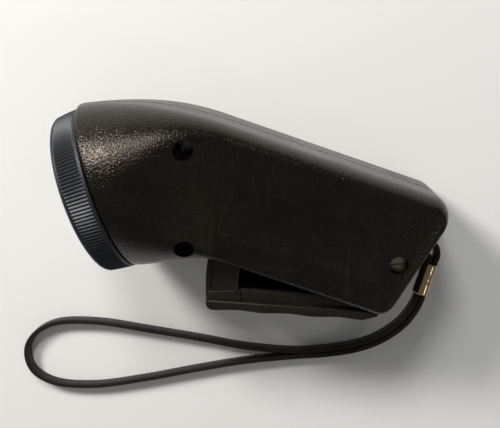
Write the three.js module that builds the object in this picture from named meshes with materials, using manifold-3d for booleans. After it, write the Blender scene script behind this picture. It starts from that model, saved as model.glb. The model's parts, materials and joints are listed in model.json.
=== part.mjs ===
// A hand-squeezed dynamo torch, lying on its side with its wrist strap on the table.
// Lengths are in millimetres and angles in degrees, with +Z up and the table at z = 0.
// Grip frame: x runs along the grip to the tail, y to the torch's top and z across the torch, out of
// the side that faces up. Its origin is the centre of the bezel's back edge.
// Head frame: the same origin, with z along the beam and y to the torch's top.
import * as THREE from 'three';
import { mergeVertices } from 'three/addons/utils/BufferGeometryUtils.js';
import Module from 'manifold-3d';

const wasm = await Module();
wasm.setup();

// Clearances
const gap = 0.3;
const runningGap = 0.2;
const overrun = 1;
const weld = 0.5;
const snap = 0.002;

// Facets of round pieces
const facets = { fine: 40, round: 16, small: 12, wire: 6, arcStep: 3 };

// How the torch is bent and how it lies
const stance = { bend: 37.6, slope: 18.6 };

// Case
const grip = {
  length: 98,
  height: 40.8,
  drop: 7.5,
  halfWidth: 20,
  wall: 2,
  topEdgeWidth: 9,
  topEdgeHeight: 4,
  bottomEdge: 3,
};
const head = {
  topRadius: 28.3,
  bottomRadius: 26.8,
  halfWidth: 26.9,
  frontWall: 2,
  neckRadius: 23.5,
  neckWall: 2,
  neckLength: 5,
};

// Bezel, lens, reflector and lamp, along the beam
const bezel = {
  wall: 3.2,
  backRim: 1,
  ribBand: 6.2,
  ribDepth: 0.4,
  ribs: 150,
  lipThickness: 1.3,
  lipWidth: 2.6,
  noseWall: 1.1,
  pitch: 3,
  turns: 1.5,
};
const lens = { thickness: 1.6 };
const reflector = { throatRadius: 6.4, wall: 0.9, flange: 0.8, depth: 10.9, throatLength: 3.2 };
const bulb = {
  capRadius: 4.7,
  capLength: 8.7,
  capBack: 19.2,
  tipRadius: 1.6,
  tipLength: 0.6,
  ballRadius: 5.5,
  ballCentre: 1,
};
const holder = { bore: 5, radius: 6.7, flange: 9, flangeThickness: 1.2, back: 21.6, backWall: 1 };
const bulkhead = { back: 12.5, thickness: 1.5 };
const contact = { radius: 4.2, thickness: 0.5, stemRadius: 0.8, stemLength: 4 };

// Lever
const lever = {
  swing: 15,
  padHalfWidth: 15.5,
  padThickness: 3.3,
  nose: 2.4,
  tailReach: 0.9,
  tailChamfer: 2.4,
  waves: 3,
  waveHeight: 0.45,
  wallHalfWidth: 13.5,
  wallThickness: 2,
  wallHeight: 4,
  gusset: 11,
  armDepth: 10.6,
  armRise: 12.5,
  webThickness: 2,
  stopReach: 1.9,
  stopHeight: 1.4,
  grooveInset: 1.8,
  grooveWidth: 0.5,
  grooveDepth: 0.4,
  rackWidth: 4,
  rackBacking: 2.75,
  hubRadius: 3.6,
};
const pin = { radius: 1.5, bossRadius: 3.2, tailInset: 5.2 };
const spring = { radius: 3, wire: 0.45, turns: 4, pitch: 1.2, leverLeg: 16, caseLeg: 12.5 };

// Gear train, from the lever to the rotor
const teeth = { sector: 97, firstPinion: 10, firstWheel: 29, secondPinion: 10, secondWheel: 36 };
teeth.rotorPinion = 10;
const tooth = { pressure: 20, backlash: 0.14, riseShare: 0.92, depthShare: 1.2 };
const shaft = { radius: 1.5, rotorRadius: 1, bossRadius: 3 };
const bush = { wall: 1.3, seatWall: 1.2, length: 2.2 };

// Generator
const plate = { screwHole: 1.6, rotorHole: 2.6, postRadius: 2.6, bridge: 1.8 };
const stator = {
  airGap: 0.6,
  legWidth: 5,
  armHeight: 3.6,
  poleWidth: 2.5,
  poleDepth: 4.1,
  throat: 2.8,
  screwEdge: 2.7,
};
const coil = { wall: 0.8, build: 2.5, poleGap: 0.9 };
const flywheel = { clearance: 1.8, overhang: 2, hubRadius: 3, recess: 0.8, rim: 2 };

// Screws
const screw = { head: 2.7, headHeight: 1.8, slotWidth: 0.7, slotDepth: 0.8, shank: 1.25, well: 3 };
const boss = { upperRadius: 4.2, lowerRadius: 3.6, floor: 2.4, shankDepth: 9, pilotDepth: 11 };
const smallScrew = { head: 2.3, headHeight: 1.3, shank: 1.25, depth: 6 };

// Strap
const strap = { halfWidth: 2.1, halfThickness: 0.9, pairGap: 0.2 };
const strapPin = { radius: 1.25, halfLength: 7, seatRadius: 2.4, seatFrom: 3.9 };
const rearScrew = { clearance: 0.5, angle: 220 };
const strapWindow = { halfWidth: 3.2, margin: 0.9 };
const crimp = { length: 11, wall: 0.4, clearance: 0.15, hold: 4, lean: 4.1 };
const lead = { radius: 0.5, rise: 1.2, spread: 3.8 };

// Places in the grip frame, as shares of the grip's length and height
const placeShares = {
  pivot: [0.9878, 0.1716],
  firstGear: [0.5337, 0.4294],
  secondGear: [0.6642, 0.6032],
  rotor: [0.7907, 0.4549],
  plateScrew1: [0.398, 0.772],
  plateScrew2: [0.806, 0.85],
  frontTopScrew: [0.198, 0.75],
  frontBottomScrew: [0.296, 0.044],
  strapPin: [1.0122, 0.5515],
};

// Depths across the torch, as shares of the room between mid-plane and side wall
const layerShares = {
  firstBossShare: -0.762,
  firstPinion: [-0.735, -0.51],
  firstHub: [-0.515, -0.44],
  firstWheel: [-0.445, -0.278],
  secondBossShare: -0.49,
  secondPinion: [-0.462, -0.22],
  secondWheel: [-0.222, -0.11],
  rotorBossShare: -0.285,
  rotorPinion: [-0.24, -0.09],
  plate: [-0.055, 0.012],
  stator: [0.235, 0.568],
  magnet: [0.225, 0.578],
  flywheel: [0.68, 0.845],
  rotorBushTopShare: 0.865,
  frontScrewSeatShare: 0.467,
  rearScrewSeatShare: 0.86,
  shaftEndShare: 0.97,
  labelRecessShare: 1.094,
};

// Outline of the bearing plate, as shares of the grip's length and height
const plateShares = [
  [0.367, 0.686], [0.367, 0.87], [0.83, 0.914], [0.862, 0.833], [0.862, 0.257],
  [0.83, 0.18], [0.47, 0.18], [0.427, 0.28], [0.427, 0.551],
];

// Sections of the head, from the bezel to the grip: the step along both outlines, how much of the
// head's extra width is left, and how far the round section has become the grip's boxy one
const headShares = [
  [0, 1, 0.02], [0.08, 1.06, 0.06], [0.2, 1.1, 0.15], [0.34, 1.05, 0.29],
  [0.5, 0.9, 0.48], [0.66, 0.64, 0.68], [0.82, 0.3, 0.87], [1, 0.04, 0.985],
];

// Sections of the grip behind the head: top and bottom places and the share of the full width
const gripShares = [
  { top: [0.5, 1], bottom: [0.49, 0], width: 1 },
  { top: [1, 1], bottom: [0.948, 0], width: 1 },
  { top: [1.041, 0.958], bottom: [0.9724, 0.029], width: 0.985 },
  { top: [1.056, 0.885], bottom: [0.9878, 0.091], width: 0.935 },
];

// Control points of the head's top and bottom outlines
const outlineShares = {
  topControl: [0.051, 1],
  topEnd: [0.291, 1],
  bottomControls: [[0.2245, -0.27], [0.316, 0]],
  bottomEnd: [0.388, 0],
};

// Label recess on the side that faces up, and route of the leads, as shares of the grip
const labelShares = { low: [0.383, 0.245], high: [0.908, 0.608] };
const leadShares = [
  [[0.52, 0.75, 0.84], [0.42, 0.72, 0.86], [0.32, 0.6, 0.8], [0.25, 0.52, 0.5]],
  [[0.49, 0.69, 0.84], [0.4, 0.64, 0.86], [0.3, 0.48, 0.7], [0.22, 0.38, 0.4]],
];

// Route of the strap's short loop through the case, in the grip frame: the run below the strap pin
// and the run above it, each from the case to the crimp
const loopRoute = {
  crimpTop: [108.45, 9.95],
  lowerRun: [[102, 12.8], [105.1, 13.1], [107.1, 11.8]],
  upperRun: [[101.8, 17.5], [104.8, 17.3], [107.9, 16], [109.4, 13.3]],
};

// Route of the wrist strap on the table, in the finished part's own frame: the stretch where both
// strands lie side by side, then the open loop
const strapRoute = {
  pair: [
    [55.6, -35.6, 17], [52.9, -41.2, 13.9], [48.9, -46.6, 10.2], [43.1, -51.7, 6.8], [35.8, -55.4, 4.3],
    [26, -57.9, 2.9], [16.8, -59.2, 2.3],
  ],
  loop: [
    [-1.8, -57.6, 2.2], [-20.5, -54.9, 2.2], [-39.3, -52.4, 2.3], [-58.2, -50.1, 2.4], [-73, -50.7, 2.3],
    [-79.5, -53.1, 2.2], [-83.8, -56.6, 2.2], [-86.3, -61, 2.2], [-86.5, -66, 2.2], [-84.6, -70.5, 2.2],
    [-80.5, -73.7, 2.2], [-74, -75.7, 2.2], [-60, -75.6, 2.2], [-41, -72, 2.2], [-22, -67.4, 2.2],
    [-3, -63.2, 2.2],
  ],
};

const radians = THREE.MathUtils.degToRad;
const inner = grip.halfWidth - grip.wall;
const neckEnd = head.neckLength;
const flangeBack = neckEnd + gap;
const flangeFront = flangeBack + reflector.flange;
const lensBack = flangeFront + gap;
const lensFront = lensBack + lens.thickness;
const bezelFront = lensFront + gap + bezel.lipThickness;
const neckBore = head.neckRadius - head.neckWall;
const bezelBore = head.neckRadius + gap;
const bezelRadius = bezelBore + bezel.wall;

function at([along, up]) {
  return new THREE.Vector2(along * grip.length, up * grip.height - grip.drop);
}

function layer(depthShare) {
  return depthShare * inner;
}

function polar([radius, angle]) {
  return new THREE.Vector2(radius * Math.cos(angle), radius * Math.sin(angle));
}

const place = Object.fromEntries(Object.entries(placeShares).map(([name, pair]) => [name, at(pair)]));
place.pivot.x -= pin.tailInset;
const strapTurn = strapPin.radius + gap + 2 * strap.halfThickness;
const rearStep = boss.lowerRadius + strapTurn + rearScrew.clearance;
place.rearScrew = polar([rearStep, radians(rearScrew.angle)]).add(place.strapPin);

// The flywheel fills the room up to the rear screw's boss, and the magnet follows it
const flywheelRadius = place.rotor.distanceTo(place.rearScrew) - boss.upperRadius - flywheel.clearance;
const magnetRadius = flywheelRadius - flywheel.overhang;
const statorBore = magnetRadius + stator.airGap;
const statorHalf = statorBore + stator.poleWidth;
const statorWindow = coil.wall + coil.build + 2 * gap + coil.poleGap;
const statorLeft = place.rotor.x - statorBore - stator.poleDepth - statorWindow - stator.legWidth;
const statorScrewX = place.secondGear.x + shaft.radius + plate.screwHole + plate.bridge;
const statorScrewSide = statorHalf - stator.screwEdge;
place.statorScrew1 = new THREE.Vector2(statorScrewX, place.rotor.y - statorScrewSide);
place.statorScrew2 = new THREE.Vector2(statorScrewX, place.rotor.y + statorScrewSide);

const leverArm = place.pivot.distanceTo(place.firstGear);
const firstLine = place.firstGear.clone().sub(place.pivot).angle();
const secondLine = place.secondGear.clone().sub(place.firstGear).angle();
const rotorLine = place.rotor.clone().sub(place.secondGear).angle();
const modules = {
  first: 2 * leverArm / (teeth.sector - teeth.firstPinion),
  second: 2 * place.firstGear.distanceTo(place.secondGear) / (teeth.firstWheel + teeth.secondPinion),
  third: 2 * place.secondGear.distanceTo(place.rotor) / (teeth.secondWheel + teeth.rotorPinion),
};
const sectorRadius = teeth.sector * modules.first / 2;
const armInner = sectorRadius - tooth.riseShare * modules.first;
const armOuter = armInner + lever.armDepth;
const ridge = place.pivot.y + grip.drop + gap;

export const ratios = {
  firstGear: teeth.sector / teeth.firstPinion,
  secondGear: -teeth.sector / teeth.firstPinion * teeth.firstWheel / teeth.secondPinion,
};
ratios.rotor = -ratios.secondGear * teeth.secondWheel / teeth.rotorPinion;

// Solids

function facingOut(geometry) {
  const position = geometry.getAttribute('position');
  const index = geometry.getIndex();
  const corner = [new THREE.Vector3(), new THREE.Vector3(), new THREE.Vector3()];
  let volume = 0;
  for (let i = 0; i < index.count; i += 3) {
    corner.forEach((point, k) => point.fromBufferAttribute(position, index.getX(i + k)));
    volume += corner[0].dot(corner[1].clone().cross(corner[2]));
  }
  if (volume < 0) {
    const flipped = Array.from(index.array).reverse();
    geometry.setIndex(flipped);
  }
  return geometry;
}

function solidOf(geometry) {
  const bare = geometry.clone();
  bare.deleteAttribute('normal');
  bare.deleteAttribute('uv');
  const merged = facingOut(mergeVertices(bare));
  const vertProperties = new Float32Array(merged.getAttribute('position').array);
  const triVerts = new Uint32Array(merged.getIndex().array);
  return new wasm.Manifold(new wasm.Mesh({ numProp: 3, vertProperties, triVerts }));
}

function geometryOf(solid) {
  const mesh = solid.getMesh();
  const raw = new THREE.BufferGeometry();
  raw.setAttribute('position', new THREE.BufferAttribute(mesh.vertProperties, mesh.numProp));
  raw.setIndex(new THREE.BufferAttribute(mesh.triVerts, 1));
  const geometry = mergeVertices(raw, snap);
  const corners = geometry.getIndex().array;
  const kept = [];
  for (let i = 0; i < corners.length; i += 3) {
    const triangle = [corners[i], corners[i + 1], corners[i + 2]];
    if (new Set(triangle).size === triangle.length) kept.push(...triangle);
  }
  geometry.setIndex(kept);
  geometry.computeVertexNormals();
  return geometry;
}

function joined(solids) {
  return solids.reduce((whole, solid) => whole.add(solid));
}

function rod(centre, radius, from, to, sides = facets.round) {
  const geometry = new THREE.CylinderGeometry(radius, radius, to - from, sides);
  geometry.rotateX(Math.PI / 2);
  geometry.translate(centre.x, centre.y, (from + to) / 2);
  return solidOf(geometry);
}

function block(low, high) {
  const size = high.map((value, axis) => value - low[axis]);
  const geometry = new THREE.BoxGeometry(...size);
  geometry.translate(...low.map((value, axis) => value + size[axis] / 2));
  return solidOf(geometry);
}

function slab(outline, from, to, holes = []) {
  const shape = outline instanceof THREE.Shape ? outline : new THREE.Shape(outline);
  shape.holes.push(...holes);
  const geometry = new THREE.ExtrudeGeometry(shape, {
    depth: to - from, bevelEnabled: false, curveSegments: facets.small,
  });
  geometry.translate(0, 0, from);
  return solidOf(geometry);
}

function turned(profile, sides = facets.fine) {
  const points = profile.map(([radius, along]) => new THREE.Vector2(radius, along));
  const geometry = new THREE.LatheGeometry([...points, points[0].clone()], sides);
  geometry.rotateX(Math.PI / 2);
  return solidOf(geometry);
}

function cordOf(points, section, steps) {
  const curve = new THREE.CatmullRomCurve3(points, false, 'centripetal');
  const geometry = new THREE.ExtrudeGeometry(section, {
    steps, extrudePath: curve, bevelEnabled: false, curveSegments: 1,
  });
  return solidOf(geometry);
}

function roundSection(radius, sides) {
  const corners = Array.from({ length: sides }, (_, i) => {
    const angle = 2 * Math.PI * i / sides;
    return new THREE.Vector2(radius * Math.cos(angle), radius * Math.sin(angle));
  });
  return new THREE.Shape(corners);
}

// Case halves

function sectionRing(section, inset) {
  const up = section.top.clone().sub(section.bottom).normalize();
  const base = section.bottom.clone().addScaledVector(up, inset);
  const height = section.top.distanceTo(section.bottom) - 2 * inset;
  const half = section.half - inset;
  const shrink = (size) => Math.max(size - inset, gap);
  const corners = [
    { width: shrink(section.bottomWidth), rise: shrink(section.bottomRise), x: 1, y: -1 },
    { width: shrink(section.topWidth), rise: shrink(section.topRise), x: 1, y: 1 },
    { width: shrink(section.topWidth), rise: shrink(section.topRise), x: -1, y: 1 },
    { width: shrink(section.bottomWidth), rise: shrink(section.bottomRise), x: -1, y: -1 },
  ];
  const steps = 5;
  return corners.flatMap(({ width, rise, x, y }) => Array.from({ length: steps + 1 }, (_, i) => {
    const turn = Math.PI / 2 * (x * y > 0 ? i : steps - i) / steps;
    const across = x * (half - width + width * Math.cos(turn));
    const lift = y > 0 ? height - rise + rise * Math.sin(turn) : rise - rise * Math.sin(turn);
    const spot = base.clone().addScaledVector(up, lift);
    return new THREE.Vector3(spot.x, spot.y, across);
  }));
}

function loft(rings) {
  const count = rings[0].length;
  const points = rings.flat();
  const index = [];
  for (let r = 0; r + 1 < rings.length; r += 1) {
    for (let i = 0; i < count; i += 1) {
      const next = (i + 1) % count;
      const [a, b] = [r * count + i, r * count + next];
      index.push(a, a + count, b, b, a + count, b + count);
    }
  }
  const last = (rings.length - 1) * count;
  for (const [start, order] of [[0, 1], [last, -1]]) {
    const centre = new THREE.Vector3();
    for (let i = 0; i < count; i += 1) centre.addScaledVector(points[start + i], 1 / count);
    points.push(centre);
    for (let i = 0; i < count; i += 1) {
      const pair = [start + i, start + (i + 1) % count];
      index.push(points.length - 1, ...(order > 0 ? pair : pair.reverse()));
    }
  }
  const geometry = new THREE.BufferGeometry().setFromPoints(points);
  geometry.setIndex(index);
  return geometry;
}

function headSections() {
  const bend = radians(stance.bend);
  const up = new THREE.Vector2(-Math.sin(bend), Math.cos(bend));
  const top = new THREE.QuadraticBezierCurve(
    up.clone().multiplyScalar(head.topRadius), at(outlineShares.topControl), at(outlineShares.topEnd));
  const bottom = new THREE.CubicBezierCurve(
    up.clone().multiplyScalar(-head.bottomRadius), ...outlineShares.bottomControls.map(at),
    at(outlineShares.bottomEnd));
  return headShares.map(([step, widthShare, boxShare]) => {
    const half = grip.halfWidth + (head.halfWidth - grip.halfWidth) * widthShare;
    const ends = { top: top.getPoint(step), bottom: bottom.getPoint(step) };
    const halfHeight = ends.top.distanceTo(ends.bottom) / 2;
    const blend = (round, boxy) => round + (boxy - round) * boxShare;
    return {
      ...ends,
      half,
      topWidth: blend(half, grip.topEdgeWidth),
      topRise: blend(halfHeight, grip.topEdgeHeight),
      bottomWidth: blend(half, grip.bottomEdge),
      bottomRise: blend(halfHeight, grip.bottomEdge),
    };
  });
}

function gripSections() {
  return gripShares.map((section) => ({
    top: at(section.top),
    bottom: at(section.bottom),
    half: grip.halfWidth * section.width,
    topWidth: grip.topEdgeWidth,
    topRise: grip.topEdgeHeight,
    bottomWidth: grip.bottomEdge,
    bottomRise: grip.bottomEdge,
  }));
}

const sections = [...headSections(), ...gripSections()];

function beamward(solid) {
  return solid.transform(headTurn.elements);
}

const headTurn = new THREE.Matrix4().makeBasis(
  new THREE.Vector3(0, 0, 1),
  new THREE.Vector3(-Math.sin(radians(stance.bend)), Math.cos(radians(stance.bend)), 0),
  new THREE.Vector3(-Math.cos(radians(stance.bend)), -Math.sin(radians(stance.bend)), 0),
);

function caseScrews() {
  const frontSeat = layer(layerShares.frontScrewSeatShare);
  return [
    { name: 'front_top_screw', spot: place.frontTopScrew, seat: frontSeat },
    { name: 'front_bottom_screw', spot: place.frontBottomScrew, seat: frontSeat },
    { name: 'rear_screw', spot: place.rearScrew, seat: layer(layerShares.rearScrewSeatShare) },
  ];
}

function shells() {
  const origin = new THREE.Vector2();
  const far = head.halfWidth + 2 * overrun;
  const outer = solidOf(loft(sections.map((section) => sectionRing(section, 0))));
  const lining = solidOf(loft(sections.map((section) => sectionRing(section, grip.wall))));
  const clearRoom = solidOf(loft(sections.map((section) => sectionRing(section, grip.wall + gap))));
  const rear = sections.at(-1);
  const rearUp = rear.top.clone().sub(rear.bottom).normalize();
  const rearOut = new THREE.Vector2(rearUp.y, -rearUp.x);
  const wallLine = [
    rear.bottom.clone().addScaledVector(rearOut, -grip.wall).addScaledVector(rearUp, -far),
    rear.top.clone().addScaledVector(rearOut, -grip.wall).addScaledVector(rearUp, far),
  ];
  const rearSlab = slab([
    wallLine[0], wallLine[0].clone().addScaledVector(rearOut, far),
    wallLine[1].clone().addScaledVector(rearOut, far), wallLine[1],
  ], -far, far);
  const frontSlab = beamward(block([-far, -far, -head.frontWall], [far, far, far]));
  const bulkheadSlab = beamward(block(
    [-far, -far, -bulkhead.back], [far, far, bulkhead.thickness - bulkhead.back]));
  const cavity = lining.subtract(rearSlab).subtract(frontSlab).subtract(bulkheadSlab);

  const neck = beamward(rod(origin, head.neckRadius, -weld, neckEnd, facets.fine));
  const neckHole = beamward(
    rod(origin, neckBore, -head.frontWall - overrun, neckEnd + overrun, facets.fine));
  const lampHole = beamward(rod(origin, holder.radius + gap, -bulkhead.back - overrun,
    bulkhead.thickness - bulkhead.back + overrun));
  const body = outer.add(neck).subtract(cavity).subtract(neckHole).subtract(lampHole);

  const upperPosts = [];
  const lowerPosts = [];
  const upperCuts = [];
  const lowerCuts = [];
  for (const { spot, seat } of caseScrews()) {
    const floor = seat - boss.floor;
    upperPosts.push(rod(spot, boss.upperRadius, floor, far));
    upperCuts.push(rod(spot, screw.well, seat, far + overrun));
    upperCuts.push(rod(spot, screw.shank + gap, floor - overrun, seat + overrun, facets.small));
    lowerPosts.push(rod(spot, boss.lowerRadius, -far, floor - gap));
    lowerCuts.push(rod(spot, screw.shank + runningGap, floor - gap - boss.pilotDepth, floor, facets.small));
  }
  const pinSeat = lever.wallHalfWidth + gap;
  const pinEnd = layer(layerShares.shaftEndShare);
  upperPosts.push(rod(place.pivot, pin.bossRadius, pinSeat, far));
  lowerPosts.push(rod(place.pivot, pin.bossRadius, -far, -pinSeat));
  upperCuts.push(rod(place.pivot, pin.radius + runningGap, pinSeat - overrun, pinEnd, facets.small));
  lowerCuts.push(rod(place.pivot, pin.radius + runningGap, -pinEnd, overrun - pinSeat, facets.small));

  for (const [spot, top] of [
    [place.firstGear, layer(layerShares.firstBossShare)],
    [place.secondGear, layer(layerShares.secondBossShare)],
  ]) {
    lowerPosts.push(rod(spot, shaft.bossRadius, -far, top));
    lowerCuts.push(rod(spot, shaft.radius + runningGap, -pinEnd, top + overrun, facets.small));
  }
  const bushSeat = shaft.rotorRadius + bush.wall + runningGap;
  const rotorTop = layer(layerShares.rotorBossShare);
  lowerPosts.push(rod(place.rotor, bushSeat + bush.seatWall, -far, rotorTop));
  lowerCuts.push(rod(place.rotor, bushSeat, rotorTop - bush.length - gap, rotorTop + overrun));
  const upperBush = layer(layerShares.rotorBushTopShare);
  upperPosts.push(rod(place.rotor, bushSeat + bush.seatWall, upperBush, far));
  upperCuts.push(rod(place.rotor, bushSeat, upperBush - overrun, upperBush + bush.length + gap));

  for (const spot of [place.plateScrew1, place.plateScrew2, place.statorScrew1]) {
    const top = layer(layerShares.plate[0]) - gap;
    lowerPosts.push(rod(spot, smallScrew.shank + grip.wall / 2, -far, top, facets.small));
    const pilot = smallScrew.shank + runningGap;
    lowerCuts.push(rod(spot, pilot, top - smallScrew.depth, top + overrun, facets.small));
  }

  const strapPost = [strapPin.seatFrom, strapPin.halfLength + overrun];
  upperPosts.push(rod(place.strapPin, strapPin.seatRadius, ...strapPost));
  lowerPosts.push(rod(place.strapPin, strapPin.seatRadius, -strapPost[1], -strapPost[0]));
  const pinHole = rod(place.strapPin, strapPin.radius + runningGap, -strapPin.halfLength - gap,
    strapPin.halfLength + gap, facets.small);

  const window = block(
    [place.strapPin.x - strapPin.radius, place.strapPin.y - strapTurn - strapWindow.margin,
      -strapWindow.halfWidth],
    [place.strapPin.x + far, place.strapPin.y + strapTurn + strapWindow.margin, strapWindow.halfWidth]);
  const slotHalf = lever.wallHalfWidth + gap + weld;
  const slotFront = place.pivot.x - armOuter - gap - weld;
  const slot = block(
    [slotFront, -grip.drop - grip.height / 2, -slotHalf],
    [grip.length + far, place.pivot.y - pin.bossRadius - gap, slotHalf]);
  const label = block(
    [...at(labelShares.low).toArray(), layer(layerShares.labelRecessShare)],
    [...at(labelShares.high).toArray(), far]);

  const split = gap / 2;
  const reach = 2 * grip.length;
  const upperRoom = block([-reach, -reach, split], [reach, reach, far]);
  const lowerRoom = block([-reach, -reach, -far], [reach, reach, -split]);
  const posts = (list) => joined(list).intersect(outer);
  const upper = body.add(posts(upperPosts)).intersect(upperRoom);
  const risen = joined(lowerPosts).intersect(clearRoom);
  const lower = body.add(posts(lowerPosts)).intersect(lowerRoom).add(risen);
  const shared = joined([pinHole, window, slot]);
  return {
    upper_shell: upper.subtract(joined([...upperCuts, label])).subtract(shared),
    lower_shell: lower.subtract(joined(lowerCuts)).subtract(shared),
  };
}

// Lamp head, in the head frame

function bezelRing() {
  const lipBore = bezelBore - bezel.lipWidth;
  const noseRadius = bezelBore + bezel.noseWall;
  const lipBack = lensFront + gap;
  const root = bezelRadius - bezel.ribDepth;
  const bandEnd = gap + bezel.backRim + bezel.ribBand;
  const core = root - bezel.ribDepth;
  const rings = turned([
    [bezelBore, gap], [bezelRadius, gap], [bezelRadius, gap + bezel.backRim], [core, gap + bezel.backRim],
    [core, bandEnd - weld], [root, bandEnd - weld], [root - bezel.ribDepth / 2, bandEnd],
    [(root + noseRadius) / 2, (bandEnd + bezelFront) / 2],
    [noseRadius, bezelFront - gap],
    [noseRadius - gap, bezelFront], [lipBore, bezelFront], [lipBore, lipBack], [bezelBore, lipBack],
  ]);
  const count = 2 * bezel.ribs;
  const ribTip = bezelRadius * Math.cos(Math.PI / facets.fine) - bezel.ribDepth / 10;
  const outline = Array.from({ length: count }, (_, i) => {
    const radius = i % 2 === 0 ? ribTip : root;
    const angle = 2 * Math.PI * i / count;
    return new THREE.Vector2(radius * Math.cos(angle), radius * Math.sin(angle));
  });
  const hole = new THREE.Path(roundSection((bezelBore + core) / 2, facets.fine).getPoints());
  const band = slab(outline, gap + bezel.backRim / 2, bandEnd - weld / 2, [hole]);
  return rings.add(band);
}

function reflectorCup() {
  const rimRadius = neckBore - reflector.wall - gap;
  const throatBack = flangeBack - reflector.depth;
  const spread = (rimRadius ** 2 - reflector.throatRadius ** 2) / reflector.depth;
  const steps = 6;
  const cup = Array.from({ length: steps + 1 }, (_, i) => {
    const along = reflector.depth * i / steps;
    return [Math.sqrt(reflector.throatRadius ** 2 + spread * along), throatBack + along];
  });
  const back = cup.slice().reverse().map(([radius, along]) => [radius + reflector.wall, along]);
  const flangeRadius = head.neckRadius - gap;
  return turned([
    ...cup, [rimRadius, flangeFront], [flangeRadius, flangeFront], [flangeRadius, flangeBack], ...back,
    [reflector.throatRadius + reflector.wall, throatBack - reflector.throatLength],
    [reflector.throatRadius, throatBack - reflector.throatLength],
  ], facets.fine / 2);
}

function bulbGlass() {
  const capFront = bulb.capLength - bulb.capBack;
  const neckRadius = bulb.capRadius - gap;
  const steps = 6;
  const start = Math.acos(neckRadius / bulb.ballRadius);
  const dome = Array.from({ length: steps + 1 }, (_, i) => {
    const turn = -start + (Math.PI / 2 + start) * i / steps;
    return [bulb.ballRadius * Math.cos(turn), bulb.ballRadius * Math.sin(turn) - bulb.ballCentre];
  });
  dome.at(-1)[0] = 0;
  return turned([[0, capFront + gap], [neckRadius, capFront + gap], ...dome], facets.round);
}

function bulbCap() {
  const front = bulb.capLength - bulb.capBack;
  return turned([
    [0, -bulb.capBack - bulb.tipLength], [bulb.tipRadius, -bulb.capBack - bulb.tipLength],
    [bulb.tipRadius, -bulb.capBack], [bulb.capRadius - gap, -bulb.capBack],
    [bulb.capRadius, gap - bulb.capBack], [bulb.capRadius, front], [0, front],
  ], facets.round);
}

function bulbHolder() {
  const groove = bulkhead.thickness - bulkhead.back;
  const front = groove + gap + holder.flangeThickness;
  const stemHole = contact.stemRadius + gap;
  return turned([
    [stemHole, -holder.back], [holder.radius, -holder.back],
    [holder.radius, -bulkhead.back - gap - holder.flangeThickness],
    [holder.flange, -bulkhead.back - gap - holder.flangeThickness], [holder.flange, -bulkhead.back - gap],
    [holder.radius, -bulkhead.back - gap], [holder.radius, groove + gap], [holder.flange, groove + gap],
    [holder.flange, front], [holder.bore, front], [holder.bore, holder.backWall - holder.back],
    [stemHole, holder.backWall - holder.back],
  ], facets.round);
}

function centreContact() {
  const face = -bulb.capBack - bulb.tipLength - gap / 2;
  return turned([
    [0, face], [contact.radius, face], [contact.radius, face - contact.thickness],
    [contact.stemRadius, face - contact.thickness], [contact.stemRadius, face - contact.stemLength],
    [0, face - contact.stemLength],
  ], facets.small);
}

// Lever, in a frame at its pivot that is level when the lever is squeezed home

function gearPoints({ count, module, phase, rise, depth, slack }) {
  const pitch = count * module / 2;
  const base = pitch * Math.cos(radians(tooth.pressure));
  const involute = (radius) => {
    const angle = Math.acos(Math.min(1, base / radius));
    return Math.tan(angle) - angle;
  };
  const half = (radius) => Math.PI / (2 * count) + slack / (2 * pitch)
    + involute(pitch) - involute(Math.max(radius, base));
  const root = pitch - depth * module;
  const tip = pitch + rise * module;
  const flank = [root, pitch, tip];
  return Array.from({ length: count }, (_, k) => {
    const centre = phase + 2 * Math.PI * k / count;
    const side = (sign) => flank.map((radius) => [radius, centre + sign * half(radius)]);
    return [...side(-1), ...side(1).reverse()];
  });
}

function sectorShape(low, high, from, to) {
  const steps = Math.max(1, Math.round((to - from) / radians(facets.arcStep)));
  const arc = (radius) => Array.from({ length: steps + 1 }, (_, i) =>
    polar([radius, from + (to - from) * i / steps]));
  return new THREE.Shape([...arc(high), ...arc(low).reverse()]);
}

function padShape() {
  const reach = Math.sqrt(armOuter ** 2 - ridge ** 2);
  const under = -ridge - lever.padThickness;
  const front = -reach - runningGap / 2;
  const start = lever.nose - reach;
  const end = lever.tailReach - 2 * lever.tailChamfer;
  const shape = new THREE.Shape();
  shape.moveTo(front, -ridge);
  shape.quadraticCurveTo(front, under, start, under);
  const steps = 8 * lever.waves;
  for (let i = 1; i <= steps; i += 1) {
    const lift = lever.waveHeight * (1 - Math.cos(2 * Math.PI * lever.waves * i / steps)) / 2;
    shape.lineTo(start + (end - start) * i / steps, under + lift);
  }
  shape.lineTo(lever.tailReach, -ridge - lever.padThickness / 2);
  shape.lineTo(lever.tailReach, -ridge);
  return shape;
}

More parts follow.
